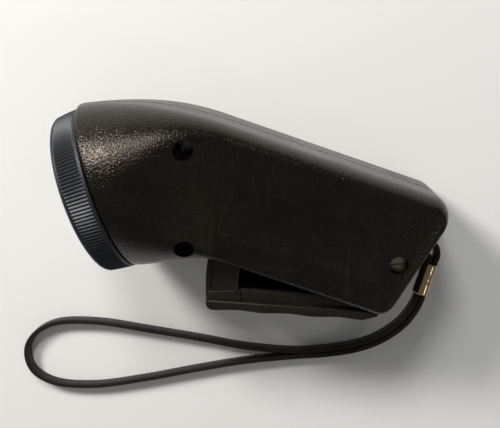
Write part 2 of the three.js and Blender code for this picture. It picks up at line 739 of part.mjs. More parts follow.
function squeezeLever() {
  const sink = lever.padThickness / 2;
  const topTurn = Math.PI - Math.asin(lever.armRise / armOuter);
  const padTurn = Math.PI + Math.asin((ridge + sink) / armOuter);
  const wallInner = lever.wallHalfWidth - lever.wallThickness;
  const pivot = new THREE.Vector2();
  const wallOutline = [
    [-armInner - weld, -ridge - sink], [0, -ridge - sink], [lever.hubRadius / 2, -lever.hubRadius / 2],
    [0, 0], [-lever.gusset, lever.wallHeight - ridge],
    [-armInner - weld, lever.wallHeight - ridge],
  ].map(([x, y]) => new THREE.Vector2(x, y));
  const rootRadius = sectorRadius + tooth.depthShare * modules.first;
  const sides = [
    { from: -lever.wallHalfWidth, to: -wallInner, inside: rootRadius + gap },
    { from: wallInner, to: lever.wallHalfWidth, inside: armInner },
  ];
  const bodies = sides.flatMap(({ from, to, inside }) => [
    slab(wallOutline, from, to),
    rod(pivot, lever.hubRadius, from, to),
    slab(sectorShape(inside, armOuter, topTurn, padTurn), from, to),
  ]);
  const webHalfWidth = lever.wallHalfWidth - weld;
  const stopTurn = lever.stopHeight / armOuter;
  const webTop = topTurn + stopTurn / 4;
  const webShape = sectorShape(armOuter - lever.webThickness, armOuter - runningGap, webTop, padTurn);
  const web = slab(webShape, -webHalfWidth, webHalfWidth);
  const stopShape = sectorShape(
    armOuter - 2 * weld, armOuter + lever.stopReach, topTurn, topTurn + stopTurn);
  const stop = slab(stopShape, -webHalfWidth, webHalfWidth);
  const pad = slab(padShape(), -lever.padHalfWidth, lever.padHalfWidth);

  const rackPhase = firstLine - radians(lever.swing);
  const spare = 2 * Math.PI / teeth.sector;
  const low = rackPhase - 1.5 * spare;
  const high = rackPhase + radians(lever.swing) + 1.5 * spare;
  const spaces = gearPoints({
    count: teeth.sector, module: modules.first, phase: rackPhase,
    rise: tooth.depthShare, depth: tooth.riseShare, slack: tooth.backlash,
  }).flat().map(([radius, angle]) => [radius, (angle + 2 * Math.PI) % (2 * Math.PI)])
    .filter(([, angle]) => angle > low && angle < high).sort((a, b) => a[1] - b[1]);
  const backRadius = rootRadius + lever.rackBacking;
  const backSteps = 6;
  const back = Array.from({ length: backSteps + 1 }, (_, i) =>
    polar([backRadius, high - (high - low) * i / backSteps]));
  const rackFrom = runningGap - lever.wallHalfWidth;
  const rack = slab([...spaces.map(polar), ...back], rackFrom, rackFrom + lever.rackWidth);

  const grooveOuter = armOuter - lever.grooveInset;
  const grooveEnd = Math.PI + Math.asin(ridge / armOuter);
  const grooveShape = sectorShape(
    grooveOuter - lever.grooveWidth, grooveOuter, topTurn - stopTurn, grooveEnd);
  const groove = slab(grooveShape, lever.wallHalfWidth - lever.grooveDepth, lever.wallHalfWidth + overrun);
  const bore = rod(pivot, pin.radius + runningGap, -2 * lever.wallHalfWidth, 2 * lever.wallHalfWidth);
  return joined([...bodies, web, stop, pad, rack]).subtract(bore).subtract(groove);
}

function returnSpring() {
  const leverLeg = new THREE.Vector2(-spring.leverLeg, gap + spring.wire - ridge)
    .rotateAround(new THREE.Vector2(), radians(lever.swing));
  const bearing = boss.lowerRadius + gap + spring.wire;
  const caseLeg = new THREE.Vector2(place.rearScrew.x - bearing - place.pivot.x, spring.caseLeg);
  const leaving = (leg) => Math.acos(spring.radius / leg.length());
  const start = caseLeg.angle() + leaving(caseLeg);
  const sweep = leverLeg.angle() - leaving(leverLeg) - start + 2 * Math.PI * spring.turns;
  const half = spring.turns * spring.pitch / 2;
  const steps = 8 * spring.turns;
  const coilPoints = Array.from({ length: steps + 1 }, (_, i) => {
    const spot = polar([spring.radius, start + sweep * i / steps]);
    return new THREE.Vector3(spot.x, spot.y, half * (2 * i / steps - 1));
  });
  const legShares = [1 / 3, 2 / 3, 1];
  const legPoints = (leg, end) => legShares.map((legShare) => {
    const spot = new THREE.Vector2(end.x, end.y).lerp(leg, legShare);
    return new THREE.Vector3(spot.x, spot.y, end.z);
  });
  const points = [
    ...legPoints(caseLeg, coilPoints[0]).reverse(), ...coilPoints,
    ...legPoints(leverLeg, coilPoints.at(-1)),
  ];
  const middle = new THREE.Vector3(place.pivot.x, place.pivot.y, 0);
  const route = points.map((point) => point.add(middle));
  return cordOf(route, roundSection(spring.wire, facets.wire), route.length);
}

// Gear train and generator

function wheel({ centre, count, module, phase, layers }) {
  const outline = gearPoints({
    count, module, phase, rise: tooth.riseShare, depth: tooth.depthShare, slack: -tooth.backlash,
  }).flat().map(polar);
  const [from, to] = layers.map(layer);
  return slab(outline, from, to).translate([centre.x, centre.y, 0]);
}

function bored(solid, centre, radius) {
  return solid.subtract(rod(centre, radius, -inner, inner));
}

function firstGear() {
  const centre = place.firstGear;
  const pinion = wheel({
    centre, count: teeth.firstPinion, module: modules.first, phase: firstLine,
    layers: layerShares.firstPinion,
  });
  const gear = wheel({
    centre, count: teeth.firstWheel, module: modules.second, phase: secondLine + Math.PI / teeth.firstWheel,
    layers: layerShares.firstWheel,
  });
  const hub = rod(centre, shaft.bossRadius, ...layerShares.firstHub.map(layer));
  return bored(joined([pinion, hub, gear]), centre, shaft.radius + runningGap);
}

function secondGear() {
  const centre = place.secondGear;
  const pinion = wheel({
    centre, count: teeth.secondPinion, module: modules.second, phase: secondLine + Math.PI,
    layers: layerShares.secondPinion,
  });
  const gear = wheel({
    centre, count: teeth.secondWheel, module: modules.third, phase: rotorLine + Math.PI / teeth.secondWheel,
    layers: layerShares.secondWheel,
  });
  return bored(pinion.add(gear), centre, shaft.radius + runningGap);
}

function rotorPinion() {
  const pinion = wheel({
    centre: place.rotor, count: teeth.rotorPinion, module: modules.third, phase: rotorLine + Math.PI,
    layers: layerShares.rotorPinion,
  });
  return bored(pinion, place.rotor, shaft.rotorRadius + runningGap);
}

function fixedShaft(centre) {
  return rod(centre, shaft.radius, gap - layer(layerShares.shaftEndShare), layer(layerShares.plate[1]));
}

function sleeve(centre, bore, radius, from, to) {
  return rod(centre, radius, from, to).subtract(rod(centre, bore, from - overrun, to + overrun));
}

function rotorBushes() {
  const bore = shaft.rotorRadius + runningGap;
  const radius = shaft.rotorRadius + bush.wall;
  const lower = layer(layerShares.rotorBossShare);
  const upper = layer(layerShares.rotorBushTopShare);
  return {
    rotor_bush_lower: sleeve(place.rotor, bore, radius, lower - bush.length, lower),
    rotor_bush_upper: sleeve(place.rotor, bore, radius, upper, upper + bush.length),
  };
}

function rotorShaft() {
  const from = layer(layerShares.rotorBossShare) - bush.length;
  const to = layer(layerShares.rotorBushTopShare) + bush.length;
  return rod(place.rotor, shaft.rotorRadius, from, to);
}

function flywheelDisc() {
  const [from, to] = layerShares.flywheel.map(layer);
  const disc = sleeve(place.rotor, shaft.rotorRadius + runningGap, flywheelRadius, from, to);
  const recess = sleeve(place.rotor, flywheel.hubRadius, flywheelRadius - flywheel.rim,
    to - flywheel.recess, to + overrun);
  return disc.subtract(recess);
}

function statorCore() {
  const { x, y } = place.rotor;
  const right = x + statorBore + gap;
  const [from, to] = layerShares.stator.map(layer);
  const windowHalf = statorHalf - stator.armHeight;
  const leg = statorLeft + stator.legWidth;
  const windowEnd = leg + statorWindow;
  const sheet = block([statorLeft, y - statorHalf, from], [right, y + statorHalf, to]);
  const cuts = [
    rod(place.rotor, statorBore, from - overrun, to + overrun, facets.fine / 2),
    block([leg, y - windowHalf, from - overrun], [windowEnd, y + windowHalf, to + overrun]),
    block([leg, y - stator.throat, from - overrun], [right + overrun, y + stator.throat, to + overrun]),
    rod(place.statorScrew1, smallScrew.shank + gap, from - overrun, to + overrun, facets.small),
    rod(place.statorScrew2, smallScrew.shank + gap, from - overrun, to + overrun, facets.small),
  ];
  return sheet.subtract(joined(cuts));
}

function coilParts() {
  const { y } = place.rotor;
  const [from, to] = layerShares.stator.map(layer);
  const half = statorHalf - stator.armHeight - gap;
  const box = (grow, low, high) => block(
    [statorLeft - grow, y + low, from - grow],
    [statorLeft + stator.legWidth + grow, y + high, to + grow]);
  const tube = gap + coil.wall;
  const cheek = tube + coil.build;
  const hole = box(gap, -half - overrun, half + overrun);
  const bobbin = joined([
    box(tube, -half, half), box(cheek, -half, coil.wall - half), box(cheek, half - coil.wall, half),
  ]).subtract(hole);
  const wound = half - coil.wall - runningGap;
  const winding = box(cheek - gap, -wound, wound)
    .subtract(box(tube + runningGap, -wound - overrun, wound + overrun));
  return { coil_bobbin: bobbin, coil_winding: winding };
}

function bearingPlate() {
  const [from, to] = layerShares.plate.map(layer);
  const seat = layer(layerShares.stator[0]) - gap;
  const posts = [place.statorScrew1, place.statorScrew2].map((spot) =>
    rod(spot, plate.postRadius, to - weld, seat));
  const holes = [
    [place.plateScrew1, plate.screwHole], [place.plateScrew2, plate.screwHole],
    [place.statorScrew1, plate.screwHole], [place.statorScrew2, plate.screwHole],
    [place.rotor, plate.rotorHole], [place.firstGear, shaft.radius + runningGap],
    [place.secondGear, shaft.radius + runningGap],
  ].map(([spot, radius]) => rod(spot, radius, from - overrun, seat + overrun));
  return slab(plateShares.map(at), from, to).add(joined(posts)).subtract(joined(holes));
}

// Screws

function slottedScrew(spot, seat, sizes, length) {
  const headTop = seat + gap + sizes.headHeight;
  const slot = block(
    [spot.x - sizes.head - overrun, spot.y - screw.slotWidth / 2, headTop - screw.slotDepth],
    [spot.x + sizes.head + overrun, spot.y + screw.slotWidth / 2, headTop + overrun]);
  return rod(spot, sizes.head, seat + gap, headTop)
    .add(rod(spot, sizes.shank, seat - length, seat + gap + weld, facets.small)).subtract(slot);
}

function screws() {
  const made = {};
  for (const { name, spot, seat } of caseScrews()) {
    made[name] = slottedScrew(spot, seat, screw, boss.shankDepth);
  }
  const plateTop = layer(layerShares.plate[1]);
  const statorTop = layer(layerShares.stator[1]);
  const plateDepth = plateTop - layer(layerShares.plate[0]) + smallScrew.depth - gap;
  made.plate_screw_1 = slottedScrew(place.plateScrew1, plateTop, smallScrew, plateDepth);
  made.plate_screw_2 = slottedScrew(place.plateScrew2, plateTop, smallScrew, plateDepth);
  const statorDepth = statorTop - plateTop;
  made.stator_screw_1 = slottedScrew(place.statorScrew1, statorTop, smallScrew, statorDepth + plateDepth);
  made.stator_screw_2 = slottedScrew(place.statorScrew2, statorTop, smallScrew, statorDepth);
  return made;
}

// Leads and strap

function leadWires() {
  const coilTop = place.rotor.y + statorHalf - stator.armHeight;
  const statorTop = layer(layerShares.stator[1]);
  const routes = leadShares.map((route, i) => [
    new THREE.Vector3(statorLeft + (1 - i) * lead.spread, coilTop + lead.rise, statorTop + lead.rise),
    ...route.map(([along, up, depth]) => {
      const spot = at([along, up]);
      return new THREE.Vector3(spot.x, spot.y, layer(depth));
    }),
  ]);
  const [a, b] = routes.map((points) => cordOf(points, roundSection(lead.radius, facets.wire), 16));
  return { lead_wire_a: a, lead_wire_b: b };
}

function strapSection() {
  const { halfWidth: high, halfThickness: wide } = strap;
  const edge = wide / 2;
  const quarter = [[high, wide - edge], [high - edge, wide]];
  const flip = ([x, y], sx, sy) => new THREE.Vector2(sx * x, sy * y);
  return new THREE.Shape([
    flip(quarter[0], 1, 1), flip(quarter[1], 1, 1), flip(quarter[1], -1, 1), flip(quarter[0], -1, 1),
    flip(quarter[0], -1, -1), flip(quarter[1], -1, -1), flip(quarter[1], 1, -1), flip(quarter[0], 1, -1),
  ]);
}

function strandSpacing() {
  return 2 * strap.halfThickness + strap.pairGap;
}

function lugLoop() {
  const half = strandSpacing() / 2;
  const lean = radians(crimp.lean);
  const down = new THREE.Vector2(Math.sin(lean), -Math.cos(lean));
  const across = new THREE.Vector2(Math.cos(lean), Math.sin(lean));
  const top = new THREE.Vector2(...loopRoute.crimpTop);
  const strand = (side, depth) =>
    top.clone().addScaledVector(across, side * half).addScaledVector(down, depth);
  const turnRadius = strapPin.radius + gap + strap.halfThickness;
  const steps = 6;
  const roundPin = Array.from({ length: steps + 1 }, (_, i) =>
    polar([turnRadius, -Math.PI / 2 - Math.PI * i / steps]).add(place.strapPin));
  const flat = (points) => points.map((pair) => new THREE.Vector2(...pair));
  const route = [
    strand(-1, crimp.hold), strand(-1, 0), ...flat(loopRoute.lowerRun).reverse(), ...roundPin,
    ...flat(loopRoute.upperRun), strand(1, 0), strand(1, crimp.hold),
  ].map((point) => new THREE.Vector3(point.x, point.y, 0));
  return cordOf(route, strapSection(), 2 * route.length);
}

function roundedBox(halfX, halfY, radius) {
  const shape = new THREE.Shape();
  shape.absarc(halfX - radius, halfY - radius, radius, 0, Math.PI / 2, false);
  shape.absarc(radius - halfX, halfY - radius, radius, Math.PI / 2, Math.PI, false);
  shape.absarc(radius - halfX, radius - halfY, radius, Math.PI, 3 * Math.PI / 2, false);
  shape.absarc(halfX - radius, radius - halfY, radius, 3 * Math.PI / 2, 2 * Math.PI, false);
  return shape.getPoints(3);
}

function crimpSleeve() {
  const halfX = strandSpacing() / 2 + strap.halfThickness + crimp.clearance;
  const halfY = strap.halfWidth + crimp.clearance;
  const corner = strap.halfThickness;
  const outline = roundedBox(halfX + crimp.wall, halfY + crimp.wall, corner);
  const hole = new THREE.Path(roundedBox(halfX, halfY, corner - crimp.wall));
  return slab(outline, 0, crimp.length, [hole]);
}

function wristStrap(crimpMatrix) {
  const half = strandSpacing() / 2;
  const start = crimp.length + gap;
  const strand = (side, depth) => new THREE.Vector3(side * half, 0, depth).applyMatrix4(crimpMatrix);
  const pair = strapRoute.pair.map((point) => new THREE.Vector3(...point));
  const beside = (side) => pair.map((point, i) => {
    const heading = pair[Math.min(i + 1, pair.length - 1)].clone().sub(pair[Math.max(i - 1, 0)]).setZ(0);
    const across = new THREE.Vector3(-heading.y, heading.x, 0).normalize();
    return point.clone().addScaledVector(across, side * half);
  });
  const route = [
    strand(-1, start), strand(-1, start + strap.halfWidth), ...beside(-1),
    ...strapRoute.loop.map((point) => new THREE.Vector3(...point)),
    ...beside(1).reverse(), strand(1, start + strap.halfWidth), strand(1, start),
  ];
  return cordOf(route, strapSection(), 80);
}

// How the torch lies: on the head's widest place and on the rear edge of its flat side

function lyingTurn() {
  const flat = gripSections()[1];
  const edge = flat.top.clone().sub(flat.bottom).normalize();
  const tailward = new THREE.Vector2(edge.y, -edge.x);
  const tail = flat.bottom.dot(tailward);
  const under = headSections().flatMap((section) => sectionRing(section, 0));
  const angles = under.map((point) => Math.atan2(
    -grip.halfWidth - point.z, tail - tailward.dot(new THREE.Vector2(point.x, point.y))));
  const axis = edge.rotateAround(new THREE.Vector2(), radians(-stance.slope));
  return new THREE.Quaternion().setFromAxisAngle(
    new THREE.Vector3(axis.x, axis.y, 0), Math.max(...angles));
}

// Assembly

const finishes = {
  case: { color: 0x1b1817, roughness: 0.45, metalness: 0 },
  bezel: { color: 0x1c2024, roughness: 0.4, metalness: 0 },
  lever: { color: 0x171514, roughness: 0.6, metalness: 0 },
  clear: { color: 0xdfe6ea, roughness: 0.05, metalness: 0 },
  mirror: { color: 0xd9dbde, roughness: 0.1, metalness: 1 },
  steel: { color: 0x9a958d, roughness: 0.4, metalness: 1 },
  brass: { color: 0xb89a5a, roughness: 0.3, metalness: 1 },
  nylon: { color: 0xd8d2c2, roughness: 0.5, metalness: 0 },
  magnet: { color: 0x3a3a3c, roughness: 0.6, metalness: 0.3 },
  copper: { color: 0xa8562a, roughness: 0.35, metalness: 0.8 },
  vinyl: { color: 0x141312, roughness: 0.35, metalness: 0 },
  lead: { color: 0x7c1f1a, roughness: 0.5, metalness: 0 },
};

function named(name, solid, finish) {
  const mesh = new THREE.Mesh(geometryOf(solid), new THREE.MeshStandardMaterial(finishes[finish]));
  mesh.name = name;
  return mesh;
}

function namedAll(solids, finish) {
  return Object.entries(solids).map(([name, solid]) => named(name, solid, finish));
}

const gripGroup = new THREE.Group();
gripGroup.rotation.z = radians(-stance.slope);
gripGroup.add(...namedAll(shells(), 'case'));

const headGroup = new THREE.Group();
headGroup.applyMatrix4(headTurn);
headGroup.add(
  named('bezel_ring', bezelRing(), 'bezel'),
  named('lens', rod(new THREE.Vector2(), head.neckRadius - gap, lensBack, lensFront, facets.fine), 'clear'),
  named('reflector', reflectorCup(), 'mirror'),
  named('bulb_glass', bulbGlass(), 'clear'),
  named('bulb_cap', bulbCap(), 'brass'),
  named('bulb_holder', bulbHolder(), 'nylon'),
  named('centre_contact', centreContact(), 'brass'),
);
gripGroup.add(headGroup);

const leverGroup = new THREE.Group();
leverGroup.position.set(place.pivot.x, place.pivot.y, 0);
leverGroup.rotation.z = radians(lever.swing);
leverGroup.add(named('squeeze_lever', squeezeLever(), 'lever'));
gripGroup.add(leverGroup);

const pinReach = layer(layerShares.shaftEndShare) - gap;
gripGroup.add(
  named('lever_pivot_pin', rod(place.pivot, pin.radius, -pinReach, pinReach), 'steel'),
  named('return_spring', returnSpring(), 'steel'),
  named('first_gear', firstGear(), 'nylon'),
  named('first_gear_shaft', fixedShaft(place.firstGear), 'steel'),
  named('second_gear', secondGear(), 'nylon'),
  named('second_gear_shaft', fixedShaft(place.secondGear), 'steel'),
  named('rotor_pinion', rotorPinion(), 'brass'),
  named('rotor_shaft', rotorShaft(), 'steel'),
  named('rotor_magnet', sleeve(place.rotor, shaft.rotorRadius + runningGap, magnetRadius,
    ...layerShares.magnet.map(layer)), 'magnet'),
  named('flywheel', flywheelDisc(), 'steel'),
  named('stator_core', statorCore(), 'steel'),
  ...namedAll(rotorBushes(), 'brass'),
  named('coil_bobbin', coilParts().coil_bobbin, 'nylon'),
  named('coil_winding', coilParts().coil_winding, 'copper'),
  named('bearing_plate', bearingPlate(), 'nylon'),
  ...namedAll(screws(), 'steel'),
  ...namedAll(leadWires(), 'lead'),
  named('strap_pin',
    rod(place.strapPin, strapPin.radius, -strapPin.halfLength, strapPin.halfLength), 'steel'),
);

const crimpGroup = new THREE.Group();
const crimpLean = radians(crimp.lean);
crimpGroup.applyMatrix4(new THREE.Matrix4().makeBasis(
  new THREE.Vector3(Math.cos(crimpLean), Math.sin(crimpLean), 0),
  new THREE.Vector3(0, 0, 1),
  new THREE.Vector3(Math.sin(crimpLean), -Math.cos(crimpLean), 0),
));
crimpGroup.position.set(...loopRoute.crimpTop, 0);

const lying = new THREE.Group();
lying.quaternion.copy(lyingTurn());
lying.add(gripGroup);

const torch = new THREE.Group();
torch.add(lying);
torch.updateMatrixWorld(true);
const room = new THREE.Box3().setFromObject(lying, true);
const middle = room.getCenter(new THREE.Vector3());
lying.position.set(-middle.x, -middle.y, -room.min.z);

crimpGroup.add(named('strap_crimp', crimpSleeve(), 'brass'));
gripGroup.add(crimpGroup, named('strap_lug_loop', lugLoop(), 'vinyl'));
torch.updateMatrixWorld(true);
torch.add(named('wrist_strap', wristStrap(crimpGroup.matrixWorld), 'vinyl'));

export default torch;
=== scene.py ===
"""Dresses a hand-squeezed dynamo torch that lies on its side on a pale table.

Sizes in the dataclasses are in millimetres. Pieces are shaped in one of these frames:
the grip frame has x to the tail, y to the torch's top and z out of the side that faces up,
the head frame has z along the beam and y to the torch's top, and the lever frame is at the
lever's pivot. Every finished piece is in metres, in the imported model's own frame.
"""

from __future__ import annotations

import json
import logging
import math
from dataclasses import dataclass
from enum import Enum
from typing import Any, Sequence

import bmesh
import bpy
from mathutils import Matrix, Vector

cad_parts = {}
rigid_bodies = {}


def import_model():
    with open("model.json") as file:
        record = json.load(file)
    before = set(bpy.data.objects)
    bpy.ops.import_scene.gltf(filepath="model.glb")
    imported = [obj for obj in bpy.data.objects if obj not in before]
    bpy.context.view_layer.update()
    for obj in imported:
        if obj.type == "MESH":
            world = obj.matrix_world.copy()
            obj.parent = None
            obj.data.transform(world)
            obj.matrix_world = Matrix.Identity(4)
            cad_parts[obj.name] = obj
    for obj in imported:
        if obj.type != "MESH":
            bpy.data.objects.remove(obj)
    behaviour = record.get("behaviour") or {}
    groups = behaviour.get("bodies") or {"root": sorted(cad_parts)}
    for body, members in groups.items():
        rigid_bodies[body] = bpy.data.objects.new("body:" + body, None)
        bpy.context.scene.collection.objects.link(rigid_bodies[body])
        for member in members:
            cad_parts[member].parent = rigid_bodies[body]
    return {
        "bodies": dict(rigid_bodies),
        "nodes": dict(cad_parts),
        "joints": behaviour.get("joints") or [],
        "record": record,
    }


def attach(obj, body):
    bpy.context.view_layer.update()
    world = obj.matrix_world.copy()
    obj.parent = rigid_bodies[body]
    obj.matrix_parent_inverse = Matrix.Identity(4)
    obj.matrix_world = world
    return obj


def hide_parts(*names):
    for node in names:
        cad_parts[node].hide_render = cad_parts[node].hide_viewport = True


log = logging.getLogger("torch")

Shape = bmesh.types.BMesh
Piece = bpy.types.Object
Socket = bpy.types.NodeSocket
Pair = tuple[float, float]
Triple = tuple[float, float, float]

MM = 0.001
QUARTER = math.pi / 2
TURN = 2 * math.pi


class Cut(Enum):
    """What a tool solid does to the piece that it meets."""

    TAKE = "DIFFERENCE"
    ADD = "UNION"
    KEEP = "INTERSECT"


class Side(Enum):
    """Which half of the case a piece belongs to, as the sign of z in the grip frame."""

    UPPER = 1
    LOWER = -1


@dataclass(frozen=True)
class Stance:
    """How the torch is bent, how low its grip hangs, and the gaps that its pieces keep."""

    bend_deg: float = 37.6
    lever_swing_deg: float = 15.0
    neck_length: float = 5.0
    grip_drop: float = 7.5
    gap: float = 0.3
    overrun: float = 1.0

    @property
    def bend(self) -> float:
        """The angle between the beam and the grip, in radians."""
        return math.radians(self.bend_deg)

    @property
    def lever_swing(self) -> float:
        """How far the lever stands open at rest, in radians."""
        return math.radians(self.lever_swing_deg)


STANCE = Stance()


def place(basis: Sequence[Vector], origin: Vector) -> Matrix:
    """Gives the matrix that takes millimetres in a working frame to metres in the model's frame.

    Args:
        basis: The working frame's x, y and z directions.
        origin: The working frame's origin, in metres.

    Returns:
        The matrix.
    """
    columns = [axis.normalized() * MM for axis in basis]
    matrix = Matrix((columns[0], columns[1], columns[2])).transposed().to_4x4()
    matrix.translation = origin
    return matrix


class Frames:
    """The working frames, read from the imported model's joints, and the model's own as `row`."""

    def __init__(self, joints: Sequence[dict[str, Any]]) -> None:
        """Reads the lever's pivot and the bezel's axis.

        Args:
            joints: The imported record's joints.
        """
        named = {joint["name"]: joint for joint in joints}
        squeeze, turn = named["lever_squeeze"], named["bezel_turn"]
        out = -Vector(squeeze["axis"]).normalized()
        beam = Vector(turn["axis"]).normalized()
        rise = beam.cross(out)
        cos, sin = math.cos(STANCE.bend), math.sin(STANCE.bend)
        along = -(beam * cos + rise * sin)
        up = rise * cos - beam * sin
        origin = Vector(turn["pos_m"]) - beam * STANCE.neck_length * MM
        self.grip = place((along, up, out), origin)
        self.head = place((out, rise, beam), origin)
        self.pivot = self.grip.inverted() @ Vector(squeeze["pos_m"])
        swing = Matrix.Rotation(STANCE.lever_swing, 4, "Z")
        self.lever = self.grip @ Matrix.Translation(self.pivot) @ swing
        self.row = Matrix.Scale(MM, 4)


# Shaping


def linked(name: str, data: bpy.types.ID) -> Piece:
    """Puts a mesh, a camera or a lamp in the scene as an object at the origin."""
    piece = bpy.data.objects.new(name, data)
    bpy.context.scene.collection.objects.link(piece)
    return piece


def finished(name: str, shape: Shape, frame: Matrix) -> Piece:
    """Turns a shape into an object whose place is in its mesh.

    Args:
        name: The piece's name.
        shape: The shape, which is used up.
        frame: The working frame that it was made in.

    Returns:
        The object.
    """
    bmesh.ops.transform(shape, matrix=frame, verts=shape.verts)
    bmesh.ops.recalc_face_normals(shape, faces=shape.faces)
    mesh = bpy.data.meshes.new(name)
    shape.to_mesh(mesh)
    shape.free()
    return linked(name, mesh)


def settle(piece: Piece) -> None:
    """Applies a piece's modifiers to its mesh."""
    graph = bpy.context.evaluated_depsgraph_get()
    mesh = bpy.data.meshes.new_from_object(piece.evaluated_get(graph))
    old = piece.data
    piece.modifiers.clear()
    piece.data = mesh
    bpy.data.meshes.remove(old)


def carve(piece: Piece, tool: Piece, cut: Cut) -> None:
    """Cuts a piece with a tool solid or joins the solid to it, and removes the tool.

    Args:
        piece: The piece that changes.
        tool: The tool solid.
        cut: What the tool does.
    """
    step = piece.modifiers.new("carve", "BOOLEAN")
    step.operation = cut.value
    step.solver = "MANIFOLD"
    step.object = tool
    settle(piece)
    piece.data.materials.clear()
    mesh = tool.data
    bpy.data.objects.remove(tool)
    bpy.data.meshes.remove(mesh)


def work(
    piece: Piece, shapes: Sequence[Shape], frame: Matrix, cut: Cut,
) -> None:
    """Works tool shapes into a piece, one after the other.

    Args:
        piece: The piece that changes.
        shapes: The tool shapes, which are used up.
        frame: The working frame that they were made in.
        cut: What they do.
    """
    for shape in shapes:
        carve(piece, finished("tool", shape, frame), cut)


def smooth(piece: Piece, angle_deg: float) -> None:
    """Shades a piece smoothly, apart from its sharp edges."""
    shape = bmesh.new()
    shape.from_mesh(piece.data)
    limit = math.radians(angle_deg)
    for face in shape.faces:
        face.smooth = True
    for edge in shape.edges:
        edge.smooth = len(edge.link_faces) == 2 and edge.calc_face_angle(0.0) < limit
    shape.to_mesh(piece.data)
    shape.free()


def evenly(first: float, last: float, steps: int) -> list[float]:
    """Lists values in equal steps, both ends included."""
    return [first + (last - first) * i / steps for i in range(steps + 1)]


def headings(route: Sequence[Vector]) -> list[Vector]:
    """Gives a route's direction at each of its points."""
    last = len(route) - 1
    return [
        (route[min(i + 1, last)] - route[max(i - 1, 0)]).normalized() for i in range(last + 1)]


def rounded_box(across: float, up: float, turn: float) -> list[Pair]:
    """Gives the outline of a rounded rectangle that stands round the origin.

    Args:
        across: Half its width.
        up: Half its height.
        turn: The radius of its corners.

    Returns:
        The outline's points.
    """
    corners = ((1, 1), (-1, 1), (-1, -1), (1, -1))
    return [
        (x * (across - turn) + turn * math.cos(angle), y * (up - turn) + turn * math.sin(angle))
        for k, (x, y) in enumerate(corners)
        for angle in evenly(k * QUARTER, (k + 1) * QUARTER, 4)]


def loft(rings: Sequence[Sequence[Vector]], endless: bool = False) -> Shape:
    """Joins closed rings of points, end to end, into one closed skin.

    Args:
        rings: The rings, with as many points each.
        endless: Whether the last ring joins the first, in place of two end faces.

    Returns:
        The skin.
    """
    shape = bmesh.new()
    loops: list[list[bmesh.types.BMEdge]] = []
    for ring in rings:
        spots = [shape.verts.new(point) for point in ring]
        pairs = zip(spots, spots[1:] + spots[:1])
        loops.append([shape.edges.new(pair) for pair in pairs])
    for first, second in zip(loops, loops[1:]):
        bmesh.ops.bridge_loops(shape, edges=first + second)
    if endless:
        bmesh.ops.bridge_loops(shape, edges=loops[-1] + loops[0])
    else:
        for end in (loops[0], loops[-1]):
            bmesh.ops.contextual_create(shape, geom=end)
    bmesh.ops.recalc_face_normals(shape, faces=shape.faces)
    return shape


def turned(profile: Sequence[Pair], steps: int, closed: bool = True) -> Shape:
    """Spins a profile of radius and height round the z axis.

    Args:
        profile: The profile's corners in order.
        steps: Steps in the full turn.
        closed: Whether the last corner joins the first.

    Returns:
        The turned shape.
    """
    shape = bmesh.new()
    spots = [shape.verts.new((radius, 0, height)) for radius, height in profile]
    pairs = list(zip(spots, spots[1:])) + ([(spots[-1], spots[0])] if closed else [])
    edges = [shape.edges.new(pair) for pair in pairs]
    bmesh.ops.spin(
        shape, geom=spots + edges, cent=(0, 0, 0), axis=(0, 0, 1), angle=TURN, steps=steps,
        use_merge=True,
    )
    bmesh.ops.remove_doubles(shape, verts=shape.verts, dist=1e-4)
    bmesh.ops.recalc_face_normals(shape, faces=shape.faces)
    return shape


def prism(outline: Sequence[Pair], low: float, high: float) -> Shape:
    """Raises a flat outline from one height to another.

    Args:
        outline: The outline's corners.
        low: The height of its bottom face.
        high: The height of its top face.

    Returns:
        The closed solid.
    """
    shape = bmesh.new()
    face = shape.faces.new([shape.verts.new((x, y, low)) for x, y in outline])
    raised = bmesh.ops.extrude_face_region(shape, geom=[face])
    spots = [part for part in raised["geom"] if isinstance(part, bmesh.types.BMVert)]
    bmesh.ops.translate(shape, verts=spots, vec=(0, 0, high - low))
    bmesh.ops.recalc_face_normals(shape, faces=shape.faces)
    return shape


def block(low: Sequence[float], high: Sequence[float]) -> Shape:
    """Makes a box from its lowest and highest corners."""
    outline = [(low[0], low[1]), (high[0], low[1]), (high[0], high[1]), (low[0], high[1])]
    return prism(outline, low[2], high[2])


def rod(spot: Sequence[float], radius: float, low: float, high: float, sides: int = 48) -> Shape:
    """Makes a round bar along z.

    Args:
        spot: The place of its axis.
        radius: Its radius.
        low: The height of its lower end.
        high: The height of its upper end.
        sides: Its facets.

    Returns:
        The bar.
    """
    shape = bmesh.new()
    bmesh.ops.create_cone(
        shape, cap_ends=True, segments=sides, radius1=radius, radius2=radius, depth=high - low)
    bmesh.ops.translate(shape, verts=shape.verts, vec=(spot[0], spot[1], (low + high) / 2))
    return shape


def eased(
    shape: Shape, width: float, angle_deg: float = 30.0, segments: int = 3,
) -> Shape:
    """Rounds a shape's sharp edges.

    Args:
        shape: The shape.
        width: The width of the rounding.
        angle_deg: The sharpest angle that is left alone.
        segments: Steps in the rounding.

    Returns:
        The shape.
    """
    limit = math.radians(angle_deg)
    shape.normal_update()
    edges = [edge for edge in shape.edges if edge.calc_face_angle(0.0) > limit]
    bmesh.ops.bevel(
        shape, geom=edges, offset=width, segments=segments, affect="EDGES", profile=0.5,
        material=-1)
    return shape


def wire(route: Sequence[Vector], radius: float, sides: int) -> Shape:
    """Makes a round wire along a route that keeps clear of the y direction.

    Args:
        route: The route's points.
        radius: The wire's radius.
        sides: Its facets.

    Returns:
        The wire.
    """
    rings = []
    turns = evenly(0, TURN, sides)[:-1]
    for spot, heading in zip(route, headings(route)):
        across = heading.cross(Vector((0, 1, 0))).normalized()
        up = across.cross(heading)
        rings.append([spot + (across * math.cos(t) + up * math.sin(t)) * radius for t in turns])
    return loft(rings)


